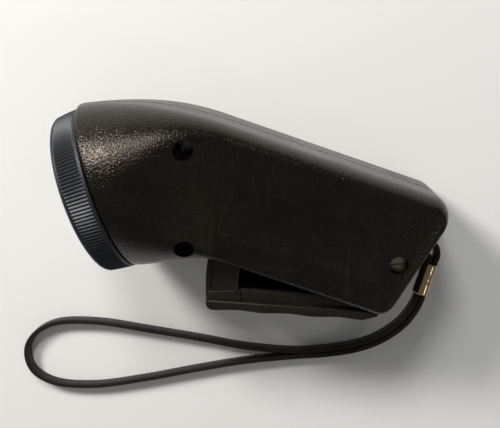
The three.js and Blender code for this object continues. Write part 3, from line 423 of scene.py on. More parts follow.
def together(shapes: Sequence[Shape]) -> Shape:
    """Puts several shapes into one, and uses them up."""
    whole = bmesh.new()
    for shape in shapes:
        mesh = bpy.data.meshes.new("part")
        shape.to_mesh(mesh)
        shape.free()
        whole.from_mesh(mesh)
        bpy.data.meshes.remove(mesh)
    return whole


def halved(shape: Shape, axis: Vector, level: float) -> Shape:
    """Keeps what lies past a level along an axis and closes the cut.

    Args:
        shape: The closed shape.
        axis: The direction of what is kept.
        level: How far along the axis the cut lies.

    Returns:
        The half that is kept.
    """
    bmesh.ops.bisect_plane(
        shape, geom=shape.verts[:] + shape.edges[:] + shape.faces[:],
        plane_co=axis * level, plane_no=axis, clear_inner=True,
    )
    rims = [edge for edge in shape.edges if len(edge.link_faces) == 1]
    bmesh.ops.holes_fill(shape, edges=rims)
    bmesh.ops.recalc_face_normals(shape, faces=shape.faces)
    return shape


# Finishes


class Nodes:
    """A node tree that is being filled."""

    def __init__(self, tree: bpy.types.NodeTree) -> None:
        """Empties a tree and keeps it."""
        self.tree = tree
        tree.nodes.clear()

    def add(
        self, kind: str, inputs: dict[Any, Any] | None = None, **settings: Any,
    ) -> bpy.types.Node:
        """Adds a node.

        Args:
            kind: The node's type.
            inputs: Values or sockets for its inputs, by name or number.
            settings: The node's own settings.

        Returns:
            The node.
        """
        node = self.tree.nodes.new(kind)
        for name, value in settings.items():
            setattr(node, name, value)
        for key, value in (inputs or {}).items():
            if isinstance(value, Socket):
                self.tree.links.new(value, node.inputs[key])
            else:
                node.inputs[key].default_value = value
        return node

    def math(self, operation: str, *values: Any, clamp: bool = False) -> Socket:
        """Adds a math node and gives its result."""
        inputs = dict(enumerate(values))
        return self.add(
            "ShaderNodeMath", inputs, operation=operation, use_clamp=clamp).outputs[0]

    def noise(self, vector: Any, scale: Any, detail: float, roughness: float) -> bpy.types.Node:
        """Adds a noise texture and gives its node."""
        return self.add("ShaderNodeTexNoise", {
            "Vector": vector, "Scale": scale, "Detail": detail, "Roughness": roughness})

    def ranged(self, value: Socket, spans: Sequence[Any]) -> Socket:
        """Maps a value from one range to another and clamps it.

        Args:
            value: The value.
            spans: From low, from high, to low and to high.

        Returns:
            The mapped value.
        """
        inputs = {"Value": value} | dict(zip(("From Min", "From Max", "To Min", "To Max"), spans))
        return self.add("ShaderNodeMapRange", inputs).outputs["Result"]

    def mixed(self, factor: Any, first: Any, second: Any) -> Socket:
        """Mixes two colours and gives the result."""
        node = self.add("ShaderNodeMix", data_type="RGBA")
        for name, value in (("Factor_Float", factor), ("A_Color", first), ("B_Color", second)):
            socket = next(one for one in node.inputs if one.identifier == name)
            if isinstance(value, Socket):
                self.tree.links.new(value, socket)
            else:
                socket.default_value = value
        return next(one for one in node.outputs if one.identifier == "Result_Color")


@dataclass(frozen=True)
class Effect:
    """A shared effect: a shader node group with named inputs and one output."""

    name: str
    inputs: tuple[tuple[str, float], ...]
    output: str

    def tree(self) -> bpy.types.NodeTree:
        """Gives the effect's group, built on first use."""
        found = bpy.data.node_groups.get(self.name)
        if found:
            return found
        tree = bpy.data.node_groups.new(self.name, "ShaderNodeTree")
        tree.interface.new_socket("Vector", in_out="INPUT", socket_type="NodeSocketVector")
        for name, value in self.inputs:
            socket = tree.interface.new_socket(name, in_out="INPUT", socket_type="NodeSocketFloat")
            socket.default_value = value
        tree.interface.new_socket(self.output, in_out="OUTPUT", socket_type="NodeSocketFloat")
        nodes = Nodes(tree)
        given = nodes.add("NodeGroupInput")
        result = self.fill(nodes, given.outputs)
        nodes.add("NodeGroupOutput", {self.output: result})
        return tree

    def fill(self, nodes: Nodes, given: Any) -> Socket:
        """Fills the group and gives the socket of its result."""
        raise NotImplementedError

    def use(
        self, nodes: Nodes, vector: Socket, **values: float,
    ) -> Socket:
        """Places the effect in a material.

        Args:
            nodes: The material's nodes.
            vector: The place on the piece.
            values: Values for the group's inputs.

        Returns:
            The effect's result.
        """
        node = nodes.add("ShaderNodeGroup", node_tree=self.tree())
        nodes.tree.links.new(vector, node.inputs["Vector"])
        for name, value in values.items():
            node.inputs[name.replace("_", " ").capitalize()].default_value = value
        return node.outputs[self.output]


class Pebble(Effect):
    """Leather-like moulded grain, as a height."""

    def fill(self, nodes: Nodes, given: Any) -> Socket:
        """Lays soft cells over a fine noise."""
        spot, scale = given["Vector"], given["Scale"]
        wander = nodes.noise(spot, scale, 1.0, 0.5).outputs["Color"]
        bent = nodes.add("ShaderNodeVectorMath", {
            0: wander, 1: (0.6 * MM,) * 3, 2: spot}, operation="MULTIPLY_ADD")
        cells = nodes.add("ShaderNodeTexVoronoi", {
            "Vector": bent.outputs[0], "Scale": scale, "Smoothness": 0.7}, feature="SMOOTH_F1")
        bumps = nodes.ranged(cells.outputs["Distance"], (0.1, 0.62, 1.0, 0.0))
        fine = nodes.noise(spot, nodes.math("MULTIPLY", scale, 3.1), 2.0, 0.5)
        return nodes.math("ADD", bumps, nodes.math("MULTIPLY", fine.outputs["Fac"], 0.35))


class Specks(Effect):
    """Scattered specks of dust, as a mask."""

    def fill(self, nodes: Nodes, given: Any) -> Socket:
        """Keeps the peaks of a fine noise inside broad patches."""
        fine = nodes.noise(given["Vector"], given["Scale"], 3.0, 0.65)
        broad_scale = nodes.math("MULTIPLY", given["Scale"], 0.035)
        broad = nodes.noise(given["Vector"], broad_scale, 2.0, 0.6)
        peaks = nodes.ranged(fine.outputs["Fac"], (0.6, 0.74, 0.0, 1.0))
        patches = nodes.ranged(broad.outputs["Fac"], (0.42, 0.72, 0.0, 1.0))
        mask = nodes.math("MULTIPLY", peaks, patches)
        return nodes.math("MULTIPLY", mask, given["Amount"], clamp=True)


class Scuffs(Effect):
    """Thin rubbed streaks in two directions, as a mask."""

    def fill(self, nodes: Nodes, given: Any) -> Socket:
        """Keeps the peaks of two stretched noises."""
        streaks = []
        for turn, stretch in ((0.5, (1.0, 0.09, 1.0)), (-0.9, (0.08, 1.0, 1.0))):
            laid = nodes.add("ShaderNodeMapping", {
                "Vector": given["Vector"], "Rotation": (0.0, 0.0, turn), "Scale": stretch})
            noise = nodes.noise(laid.outputs[0], given["Scale"], 2.0, 0.55)
            streaks.append(nodes.ranged(noise.outputs["Fac"], (0.63, 0.76, 0.0, 1.0)))
        both = nodes.math("MAXIMUM", *streaks)
        return nodes.math("MULTIPLY", both, given["Amount"], clamp=True)


class Cloud(Effect):
    """Soft broad variation between nought and one."""

    def fill(self, nodes: Nodes, given: Any) -> Socket:
        """Spreads one soft noise."""
        noise = nodes.noise(given["Vector"], given["Scale"], 4.0, 0.6)
        return nodes.ranged(noise.outputs["Fac"], (0.32, 0.68, 0.0, 1.0))


PEBBLE = Pebble("moulded_pebble", (("Scale", 1000.0),), "Height")
SPECKS = Specks("dust_specks", (("Scale", 2500.0), ("Amount", 0.5)), "Mask")
SCUFFS = Scuffs("rubbed_streaks", (("Scale", 300.0), ("Amount", 0.5)), "Mask")
CLOUD = Cloud("broad_cloud", (("Scale", 60.0),), "Mask")


@dataclass(frozen=True)
class Look:
    """How a surface looks: a named material that is built on first use."""

    name: str

    def material(self) -> bpy.types.Material:
        """Gives the material, built on first use."""
        found = bpy.data.materials.get(self.name)
        if found:
            return found
        made = bpy.data.materials.new(self.name)
        made.use_nodes = True
        nodes = Nodes(made.node_tree)
        nodes.add("ShaderNodeOutputMaterial", {"Surface": self.shade(nodes)})
        return made

    def shade(self, nodes: Nodes) -> Socket:
        """Fills the material and gives the socket of its shader."""
        raise NotImplementedError


@dataclass(frozen=True)
class Finish(Look):
    """An opaque finish: its colours, its gloss, its grain and its wear.

    The grain sizes, the stripes and the bump are in millimetres.
    """

    color: Triple
    roughness: float = 0.45
    metallic: float = 0.0
    grain: float = 0.8
    relief: float = 0.0
    uneven: float = 0.08
    dust: float = 0.0
    dust_color: Triple = (0.2, 0.18, 0.16)
    dust_grain: float = 0.4
    scuffs: float = 0.0
    scuff_color: Triple = (0.12, 0.11, 0.1)
    scuff_grain: float = 3.0
    tint: Triple | None = None
    coat: float = 0.0
    stripes: float = 0.0
    stripe_way: Triple = (0.0817, -0.0394, 0.9959)
    stripe_color: Triple = (0.02, 0.018, 0.016)
    specular: float = 0.5
    sheen_tint: Triple = (1.0, 1.0, 1.0)
    cloud_size: float = 14.0
    cloud_lift: float = 1.5

    def wave(self, nodes: Nodes, spot: Socket) -> Socket:
        """Gives the stripes' wave, between nought and one."""
        along = nodes.add(
            "ShaderNodeVectorMath", {0: spot, 1: self.stripe_way}, operation="DOT_PRODUCT")
        angle = nodes.math("MULTIPLY", along.outputs["Value"], TURN / (self.stripes * MM))
        return nodes.ranged(nodes.math("SINE", angle), (-1.0, 1.0, 0.0, 1.0))

    def bump(self, nodes: Nodes, heights: Sequence[Socket]) -> Socket:
        """Gives the normal that one or two heights bend."""
        height = heights[0] if len(heights) == 1 else nodes.math("ADD", *heights)
        bump = nodes.add("ShaderNodeBump", {"Height": height, "Distance": MM, "Strength": 1.0})
        return bump.outputs["Normal"]

    def shade(self, nodes: Nodes) -> Socket:
        """Fills the material and gives the socket of its shader."""
        spot = nodes.add("ShaderNodeTexCoord").outputs["Object"]
        cloud = CLOUD.use(nodes, spot, scale=1 / (self.cloud_size * MM))
        tint = self.tint or tuple(part * self.cloud_lift for part in self.color)
        color = nodes.mixed(cloud, (*self.color, 1.0), (*tint, 1.0))
        spread = (0.0, 1.0, self.roughness - self.uneven, self.roughness + self.uneven)
        rough = nodes.ranged(cloud, spread)
        heights = []
        if self.relief:
            grain = PEBBLE.use(nodes, spot, scale=1 / (self.grain * MM))
            heights.append(nodes.math("MULTIPLY", grain, self.relief))
        if self.stripes:
            wave = self.wave(nodes, spot)
            half = nodes.math("MULTIPLY", wave, 0.5)
            color = nodes.mixed(half, color, (*self.stripe_color, 1.0))
            heights.append(nodes.math("MULTIPLY", wave, 0.2 * self.stripes))
        for effect, size, amount, stain, dulling in (
                (SCUFFS, self.scuff_grain, self.scuffs, self.scuff_color, 0.2),
                (SPECKS, self.dust_grain, self.dust, self.dust_color, 0.3)):
            if amount:
                mask = effect.use(nodes, spot, scale=1 / (size * MM), amount=amount)
                color = nodes.mixed(mask, color, (*stain, 1.0))
                dull = nodes.math("MULTIPLY", mask, dulling)
                rough = nodes.math("ADD", rough, dull, clamp=True)
        inputs = {
            "Base Color": color, "Roughness": rough, "Metallic": self.metallic,
            "Coat Weight": self.coat, "Coat Roughness": 0.12,
            "Specular IOR Level": self.specular, "Specular Tint": (*self.sheen_tint, 1.0)}
        if heights:
            inputs["Normal"] = self.bump(nodes, heights)
        return nodes.add("ShaderNodeBsdfPrincipled", inputs).outputs[0]


@dataclass(frozen=True)
class Clear(Look):
    """A clear finish, such as glass or polished plastic, with a little dust on it."""

    color: Triple = (0.97, 0.98, 0.98)
    roughness: float = 0.03
    ior: float = 1.49
    dust: float = 0.05
    dust_grain: float = 0.5
    dust_roughness: float = 0.5

    def shade(self, nodes: Nodes) -> Socket:
        """Fills the material and gives the socket of its shader."""
        spot = nodes.add("ShaderNodeTexCoord").outputs["Object"]
        mask = SPECKS.use(nodes, spot, scale=1 / (self.dust_grain * MM), amount=self.dust)
        rough = nodes.ranged(mask, (0.0, 1.0, self.roughness, self.dust_roughness))
        return nodes.add("ShaderNodeBsdfPrincipled", {
            "Base Color": (*self.color, 1.0), "Roughness": rough, "Metallic": 0.0,
            "Transmission Weight": 1.0, "IOR": self.ior}).outputs[0]


@dataclass(frozen=True)
class Paper(Look):
    """The dull, pale paper of the table."""

    color: Triple = (0.86, 0.86, 0.85)
    roughness: float = 0.9
    specular: float = 0.1

    def shade(self, nodes: Nodes) -> Socket:
        """Fills the material and gives the socket of its shader."""
        return nodes.add("ShaderNodeBsdfPrincipled", {
            "Base Color": (*self.color, 1.0), "Roughness": self.roughness,
            "Specular IOR Level": self.specular}).outputs[0]


CASE_BLACK = Finish(
    "case_black", (0.0024, 0.0016, 0.0012), roughness=0.27, grain=0.62, relief=0.075, uneven=0.04,
    specular=0.33, sheen_tint=(1.0, 0.89, 0.77), dust=0.3, dust_color=(0.14, 0.12, 0.1),
    scuffs=0.1, scuff_color=(0.04, 0.034, 0.03))
LABEL_BLACK = Finish(
    "label_black", (0.0028, 0.002, 0.0016), roughness=0.38, relief=0.012, uneven=0.05, dust=0.1,
    specular=0.34, sheen_tint=(1.0, 0.89, 0.77), dust_color=(0.12, 0.11, 0.1))
BEZEL_BLACK = Finish(
    "bezel_black", (0.0075, 0.0088, 0.0105), roughness=0.48, relief=0.012, grain=0.5, uneven=0.06,
    sheen_tint=(0.86, 0.94, 1.0), dust=0.3, dust_color=(0.16, 0.15, 0.14))
LEVER_BLACK = Finish(
    "lever_black", (0.0068, 0.0052, 0.0044), roughness=0.42, relief=0.03, uneven=0.05,
    specular=0.36, sheen_tint=(1.0, 0.9, 0.78), dust=0.7, dust_color=(0.18, 0.155, 0.13),
    scuffs=0.12, scuff_color=(0.06, 0.05, 0.042))
STRAP_FACE = Finish(
    "strap_face", (0.003, 0.0024, 0.002), roughness=0.4, relief=0.02, grain=0.35, uneven=0.06,
    specular=0.3, dust=0.25, dust_color=(0.13, 0.12, 0.11))
# The strap's narrow edges, which face up and down, get this lighter, browner copy of the vinyl:
# painted light, a painted highlight on the upper edge.
STRAP_EDGE_PAINTED_LIGHT = Finish(
    "strap_edge", (0.017, 0.0125, 0.0095), roughness=0.6, relief=0.03, grain=0.3, specular=0.25,
    tint=(0.009, 0.0065, 0.005))
CRIMP_METAL = Finish(
    "pressed_brass", (0.46, 0.36, 0.22), roughness=0.17, metallic=1.0, relief=0.006, grain=1.2,
    uneven=0.06, scuffs=0.3, scuff_color=(0.2, 0.15, 0.09), tint=(0.36, 0.28, 0.17))
SCREW_STEEL = Finish(
    "screw_steel", (0.3, 0.265, 0.21), roughness=0.34, metallic=1.0, relief=0.01, uneven=0.1,
    dust=0.5, dust_color=(0.05, 0.04, 0.03), scuffs=0.4, scuff_color=(0.16, 0.13, 0.1),
    tint=(0.17, 0.15, 0.12))
LENS_CLEAR = Clear("lens_clear")
BULB_CLEAR = Clear("bulb_clear", ior=1.52, dust=0.0, roughness=0.01)
REFLECTOR_BRIGHT = Finish(
    "reflector_bright", (0.86, 0.87, 0.88), roughness=0.08, metallic=1.0, uneven=0.03, relief=0.002,
    grain=3.0, dust=0.12, tint=(0.8, 0.8, 0.8))
BRASS = Finish(
    "lamp_brass", (0.62, 0.45, 0.2), roughness=0.28, metallic=1.0, uneven=0.1, relief=0.004,
    scuffs=0.4, scuff_color=(0.3, 0.2, 0.09), tint=(0.45, 0.31, 0.13))
HOLDER_BLACK = Finish("holder_black", (0.02, 0.02, 0.022), roughness=0.5, relief=0.01, dust=0.2)
SHAFT_STEEL = Finish(
    "shaft_steel", (0.5, 0.5, 0.5), roughness=0.25, metallic=1.0, uneven=0.08, scuffs=0.3,
    scuff_color=(0.25, 0.25, 0.25), relief=0.003, tint=(0.4, 0.4, 0.41))
SPRING_WIRE = Finish(
    "spring_wire", (0.32, 0.32, 0.34), roughness=0.3, metallic=1.0, uneven=0.1, relief=0.004,
    tint=(0.22, 0.21, 0.2))
GEAR_NYLON = Finish(
    "gear_nylon", (0.68, 0.65, 0.56), roughness=0.42, relief=0.006, uneven=0.06, scuffs=0.3,
    scuff_color=(0.4, 0.36, 0.28), tint=(0.62, 0.58, 0.48))
PLATE_PLASTIC = Finish(
    "plate_nylon", (0.6, 0.58, 0.52), roughness=0.5, relief=0.015, uneven=0.06, dust=0.2,
    tint=(0.55, 0.52, 0.46))
FERRITE = Finish(
    "magnet_ferrite", (0.035, 0.035, 0.038), roughness=0.55, metallic=0.4, relief=0.02, grain=0.4,
    scuffs=0.4, scuff_color=(0.1, 0.1, 0.1))
LAMINATIONS = Finish(
    "stacked_steel", (0.3, 0.31, 0.33), roughness=0.42, metallic=0.9, stripes=0.5, uneven=0.08,
    relief=0.01, tint=(0.24, 0.24, 0.26))
COPPER = Finish(
    "wound_copper", (0.5, 0.17, 0.06), roughness=0.3, metallic=0.85, stripes=0.3,
    stripe_way=(0.3194, 0.9475, 0.0112), coat=0.6, uneven=0.06, tint=(0.4, 0.13, 0.04))
WIRE_RED = Finish("red_lead", (0.35, 0.02, 0.012), roughness=0.4, relief=0.004, dust=0.1)
WIRE_BLACK = Finish("black_lead", (0.012, 0.012, 0.012), roughness=0.4, relief=0.004, dust=0.1)

SLOT_FINISHES: dict[str, Look] = {
    "case_plastic": CASE_BLACK, "bezel_plastic": BEZEL_BLACK, "lever_plastic": LEVER_BLACK,
    "lens_plastic": LENS_CLEAR, "reflector_metal": REFLECTOR_BRIGHT, "bulb_glass": BULB_CLEAR,
    "brass": BRASS, "holder_plastic": HOLDER_BLACK, "steel": SHAFT_STEEL,
    "spring_steel": SPRING_WIRE, "gear_plastic": GEAR_NYLON, "plate_plastic": PLATE_PLASTIC,
    "ferrite": FERRITE, "flywheel_steel": SHAFT_STEEL, "laminations": LAMINATIONS,
    "bobbin_plastic": PLATE_PLASTIC, "copper_wire": COPPER, "wire_red": WIRE_RED,
    "wire_black": WIRE_BLACK, "crimp_metal": CRIMP_METAL, "strap_vinyl": STRAP_FACE,
}


def check_names() -> None:
    """Stops the script where a packed material already has a look's name.

    Such a name would hide the look, because `Look.material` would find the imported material.
    """
    looks = {*SLOT_FINISHES.values(), LABEL_BLACK, STRAP_EDGE_PAINTED_LIGHT, SCREW_STEEL}
    taken = sorted(look.name for look in looks if look.name in bpy.data.materials)
    if taken:
        raise ValueError(f"finishes with the name of a packed material: {taken}")


def dress(
    piece: Piece, looks: Sequence[Look], body: str, stands_for: Sequence[str],
) -> None:
    """Gives a piece its looks, its body and what it stands for.

    Args:
        piece: The piece, in its place.
        looks: Its looks, in the order of its faces' material numbers.
        body: The body that it moves with.
        stands_for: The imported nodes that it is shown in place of.
    """
    for look in looks:
        piece.data.materials.append(look.material())
    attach(piece, body)
    if stands_for:
        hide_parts(*stands_for)
    log.info("%s rides on %s", piece.name, body)


# Table, lights and camera


@dataclass(frozen=True)
class SoftLight:
    """A square soft light: where it stands, its side in millimetres and its power in watts."""

    name: str
    stand: Triple
    size: float
    power: float
    color: Triple = (1.0, 1.0, 1.0)


@dataclass(frozen=True)
class Studio:
    """The camera at the photograph's angle, the pale table and the soft lights."""

    target: Triple = (0.13, -2.61, 24.47)
    reach: Triple = (21.5, 53.0, 250.0)
    lens: float = 55.96
    sensor: float = 36.0
    nearest: float = 10.0
    roll_deg: float = 0.6
    table_half: float = 1600.0
    ambient: float = 0.19
    lights: tuple[SoftLight, ...] = (
        SoftLight("key_light", (-560.0, 520.0, 520.0), 230.0, 7.6, (1.0, 0.96, 0.91)),
        SoftLight("fill_light", (-110.0, 640.0, 620.0), 190.0, 2.9),
        SoftLight("window_light", (639.0, -434.0, 719.0), 100.0, 0.25, (1.0, 0.93, 0.78)),
    )

    def facing(self, stand: Vector) -> Matrix:
        """Gives the place of something at a stand that looks at the target, with y upward."""
        forward = (Vector(self.target) - stand).normalized()
        right = forward.cross(Vector((0, 1, 0))).normalized()
        turn = Matrix((right, right.cross(forward), -forward)).transposed().to_4x4()
        return Matrix.Translation(stand * MM) @ turn

    def add_camera(self) -> None:
        """Puts the camera where the photograph was taken from."""
        lens = bpy.data.cameras.new("photo_camera")
        lens.lens = self.lens
        lens.sensor_width = self.sensor
        lens.clip_start = self.nearest * MM
        camera = linked("photo_camera", lens)
        roll = Matrix.Rotation(math.radians(self.roll_deg), 4, "Z")
        camera.matrix_world = self.facing(Vector(self.target) + Vector(self.reach)) @ roll
        bpy.context.scene.camera = camera

    def add_table(self) -> None:
        """Lays the pale table under the torch."""
        shape = bmesh.new()
        bmesh.ops.create_grid(shape, x_segments=1, y_segments=1, size=self.table_half)
        table = finished("table", shape, Matrix.Scale(MM, 4))
        table.data.materials.append(Paper("table_paper").material())

    def add_lights(self) -> None:
        """Hangs the soft lights and sets the even light of the room."""
        for light in self.lights:
            lamp = bpy.data.lights.new(light.name, "AREA")
            lamp.size = light.size * MM
            lamp.energy = light.power
            lamp.color = light.color
            linked(light.name, lamp).matrix_world = self.facing(Vector(light.stand))
        room = bpy.data.worlds.new("room")
        room.use_nodes = True
        nodes = Nodes(room.node_tree)
        air = nodes.add("ShaderNodeBackground", {
            "Color": (1.0, 1.0, 1.0, 1.0), "Strength": self.ambient})
        nodes.add("ShaderNodeOutputWorld", {"Surface": air.outputs[0]})
        bpy.context.scene.world = room
        bpy.context.scene.view_settings.view_transform = "Standard"

    def build(self) -> None:
        """Sets up the camera, the table and the lights."""
        self.add_camera()
        self.add_table()
        self.add_lights()


# Strap


def smooth_route(points: Sequence[Vector], steps: int) -> list[Vector]:
    """Draws the centripetal curve through a route's points.

    Args:
        points: The route's points.
        steps: Steps between two of them.

    Returns:
        The points of the curve.
    """
    spots = [points[0] * 2 - points[1], *points, points[-1] * 2 - points[-2]]
    route = []
    for a, b, c, d in zip(spots, spots[1:], spots[2:], spots[3:]):
        before, span, after = (
            (end - start).length ** 0.5 for start, end in ((a, b), (b, c), (c, d)))
        leaving = ((b - a) / before - (c - a) / (before + span) + (c - b) / span) * span
        arriving = ((c - b) / span - (d - b) / (span + after) + (d - c) / after) * span
        for i in range(steps):
            t = i / steps
            route.append(
                b + leaving * t + (c * 3 - b * 3 - leaving * 2 - arriving) * t ** 2
                + (b * 2 - c * 2 + leaving + arriving) * t ** 3)
    return [*route, points[-1].copy()]


@dataclass(frozen=True)
class Strap:
    """The flat vinyl strap on its edge, and its way through the crimp and the case."""

    frames: Frames
    half_thickness: float = 0.9
    half_width: float = 2.1
    rounding: float = 0.4
    pair_gap: float = 0.2
    pin_radius: float = 1.25
    pin_spot: Pair = (99.196, 15.001)
    crimp_top: Pair = (108.45, 9.95)
    crimp_lean_deg: float = 4.1
    crimp_length: float = 11.0
    crimp_wall: float = 0.4
    crimp_inset: float = 0.08
    crimp_lip: float = 0.16
    crimp_clearance: float = 0.15
    crimp_room: Pair = (0.35, 0.45)
    crimp_squareness: float = 2.2
    crimp_sides: int = 64
    crimp_steps: int = 28
    crimp_hold: float = 4.0
    edge_slope: float = 0.55
    lug_steps: int = 6
    wrist_steps: int = 9
    lower_run: tuple[Pair, ...] = ((102, 12.8), (105.1, 13.1), (107.1, 11.8))
    upper_run: tuple[Pair, ...] = (
        (101.8, 17.5), (104.8, 17.3), (107.9, 16), (109.4, 13.3))
    pair: tuple[Triple, ...] = (
        (55.6, -35.6, 17), (52.9, -41.2, 13.9), (48.9, -46.6, 10.2), (43.1, -51.7, 6.8),
        (35.8, -55.4, 4.3), (26, -57.9, 2.9), (16.8, -59.2, 2.3))
    loop: tuple[Triple, ...] = (
        (-1.8, -57.6, 2.2), (-20.5, -54.9, 2.2), (-39.3, -52.4, 2.3), (-58.2, -50.1, 2.4),
        (-73, -50.7, 2.3), (-79.5, -53.1, 2.2), (-83.8, -56.6, 2.2), (-86.3, -61, 2.2),
        (-86.5, -66, 2.2), (-84.6, -70.5, 2.2), (-80.5, -73.7, 2.2), (-74, -75.7, 2.2),
        (-60, -75.6, 2.2), (-41, -72, 2.2), (-22, -67.4, 2.2), (-3, -63.2, 2.2))

    @property
    def half_spacing(self) -> float:
        """Half the distance between the two strands' middles."""
        return self.half_thickness + self.pair_gap / 2

    @property
    def crimp_frame(self) -> Matrix:
        """The crimp in the grip frame: z runs down the strands and x from one to the other."""
        lean = math.radians(self.crimp_lean_deg)
        cos, sin = math.cos(lean), math.sin(lean)
        turn = Matrix(((cos, sin, 0), (0, 0, 1), (sin, -cos, 0))).transposed().to_4x4()
        return Matrix.Translation((*self.crimp_top, 0)) @ turn

    def swept(self, route: Sequence[Vector]) -> Shape:
        """Sweeps the strap's rounded section along a route, on its edge.

        Args:
            route: The route's closely spaced points.

        Returns:
            The strap, with its narrow edges, which face up and down, as the second material: a
            lighter, browner colour that is a painted highlight on the upper edge.
        """
        section = rounded_box(self.half_thickness, self.half_width, self.rounding)
        rings = []
        for spot, heading in zip(route, headings(route)):
            across = Vector((0, 0, 1)).cross(heading).normalized()
            up = heading.cross(across)
            rings.append([spot + across * x + up * y for x, y in section])
        shape = loft(rings)
        shape.normal_update()
        for face in shape.faces:
            # Faces that point up or down take the second look, whose lighter colour is a painted
            # highlight on the upper edge.
            face.material_index = int(abs(face.normal.z) > self.edge_slope)
        return shape

    def held(self, frame: Matrix, side: int, depths: Sequence[float]) -> list[Vector]:
        """Gives points of one strand in or behind the crimp.

        Args:
            frame: The crimp's frame, as seen from where the points are wanted.
            side: Which strand, as a sign.
            depths: How far along the crimp the points lie.

        Returns:
            The points.
        """
        return [frame @ Vector((side * self.half_spacing, 0, depth)) for depth in depths]

    def beside(self, side: int) -> list[Vector]:
        """Gives one strand of the stretch where both lie side by side."""
        middle = [Vector(point) for point in self.pair]
        return [
            spot + Vector((-way.y, way.x, 0)).normalized() * side * self.half_spacing
            for spot, way in zip(middle, headings(middle))]

    def wrist_route(self) -> list[Vector]:
        """Gives the wrist strap's route, from the crimp round its loop and back."""
        whole = self.frames.row.inverted() @ self.frames.grip @ self.crimp_frame
        start = self.crimp_length + STANCE.gap
        depths = (start, start + self.half_width)
        return smooth_route([
            *self.held(whole, -1, depths), *self.beside(-1),
            *(Vector(point) for point in self.loop),
            *reversed(self.beside(1)), *reversed(self.held(whole, 1, depths)),
        ], self.wrist_steps)

    def lug_route(self) -> list[Vector]:
        """Gives the short loop's route, from the crimp round its pin, in the grip frame."""
        turn = self.pin_radius + STANCE.gap + self.half_thickness
        x, y = self.pin_spot
        round_pin = [
            (x + turn * math.cos(angle), y + turn * math.sin(angle))
            for angle in evenly(-QUARTER, -3 * QUARTER, 6)]
        middle = [
            Vector((*spot, 0)) for spot in (*reversed(self.lower_run), *round_pin, *self.upper_run)]
        near, far = (
            self.held(self.crimp_frame, side, (self.crimp_hold, 0)) for side in (-1, 1))
        return smooth_route([*near, *middle, *reversed(far)], self.lug_steps)

    def crimp_ring(self, depth: float, shrink: float) -> list[Vector]:
        """Gives a ring round the crimp at a depth, waisted where it is pressed.

        Args:
            depth: How far along the crimp.
            shrink: How far inside its outer face.

        Returns:
            The ring, in the crimp's frame.
        """
        share = depth / self.crimp_length
        waist = 0.12 * math.exp(-((share - 0.5) / 0.12) ** 2)
        squeeze = 0.1 * math.sin(math.pi * share) ** 0.5 + waist
        fit = self.crimp_clearance + self.crimp_wall - shrink - squeeze
        across = self.half_spacing + self.half_thickness + self.crimp_room[0] + fit
        up = self.half_width + self.crimp_room[1] + fit
        power = 2 / self.crimp_squareness
        return [
            Vector((
                math.copysign(abs(math.cos(turn)) ** power, math.cos(turn)) * across,
                math.copysign(abs(math.sin(turn)) ** power, math.sin(turn)) * up, depth))
            for turn in evenly(0, TURN, self.crimp_sides)[:-1]]

    def crimp(self) -> Shape:
        """Shapes the pressed metal crimp as a tube with rolled ends."""
        lip = self.crimp_lip
        depths = evenly(lip, self.crimp_length - lip, self.crimp_steps)
        outside = [self.crimp_ring(depth, 0) for depth in depths]
        inside = [self.crimp_ring(depth, self.crimp_wall - self.crimp_inset) for depth in depths]
        front = self.crimp_ring(0, lip)
        back = self.crimp_ring(self.crimp_length, lip)
        return loft([front, *outside, back, *reversed(inside)], endless=True)

    def build(self) -> None:
        row, grip = self.frames.row, self.frames.grip
        route = self.wrist_route()
        wrist = finished("wrist_strap_vinyl", self.swept(route), row)
        lug = finished("lug_loop_vinyl", self.swept(self.lug_route()), grip)
        crimp = finished("pressed_crimp", self.crimp(), grip @ self.crimp_frame)
        vinyl = (STRAP_FACE, STRAP_EDGE_PAINTED_LIGHT)
        for piece, looks, slot, node in (
                (wrist, vinyl, "strap_vinyl", "wrist_strap"),
                (lug, vinyl, "strap_vinyl", "strap_lug_loop"),
                (crimp, (CRIMP_METAL,), "crimp_metal", "strap_crimp")):
            smooth(piece, 50)
            dress(piece, looks, "case", [node])


# Case

CORNER_STEPS = 28
LIP_STEPS = (0, 0.06, 0.22, 0.5, 1.0, 1.8)


def curve_through(table: Sequence[tuple[float, ...]], spot: float) -> list[float]:
    """Reads a smooth curve through a table's rows.

    Args:
        table: Rows of a place and the values there, in order.
        spot: Where to read.

    Returns:
        The values.
    """
    last = len(table) - 1
    k = max(i for i in range(last) if table[i][0] <= spot or i == 0)
    before, first, second, after = (
        table[min(max(i, 0), last)] for i in (k - 1, k, k + 1, k + 2))
    span = second[0] - first[0]
    t = (spot - first[0]) / span
    values = []
    for n in range(1, len(first)):
        lean = (second[n] - before[n]) / (second[0] - before[0]) * span
        next_lean = (after[n] - first[n]) / (after[0] - first[0]) * span
        values.append(
            first[n] * (1 + 2 * t) * (1 - t) ** 2 + lean * t * (1 - t) ** 2
            + second[n] * t * t * (3 - 2 * t) + next_lean * t * t * (t - 1))
    return values


def along_line(points: Sequence[Vector], distances: Sequence[float]) -> list[Vector]:
    """Reads points at given distances along a line of points.

    Args:
        points: The line.
        distances: Distances from its start, in order.

    Returns:
        The points there.
    """
    found, walked, k = [], 0.0, 0
    for distance in distances:
        while k + 2 < len(points) and walked + (points[k + 1] - points[k]).length < distance:
            walked += (points[k + 1] - points[k]).length
            k += 1
        step = (points[k + 1] - points[k]).length
        share = min(max((distance - walked) / step, 0.0), 1.0) if step > 1e-9 else 0.0
        found.append(points[k].lerp(points[k + 1], share))
    return found


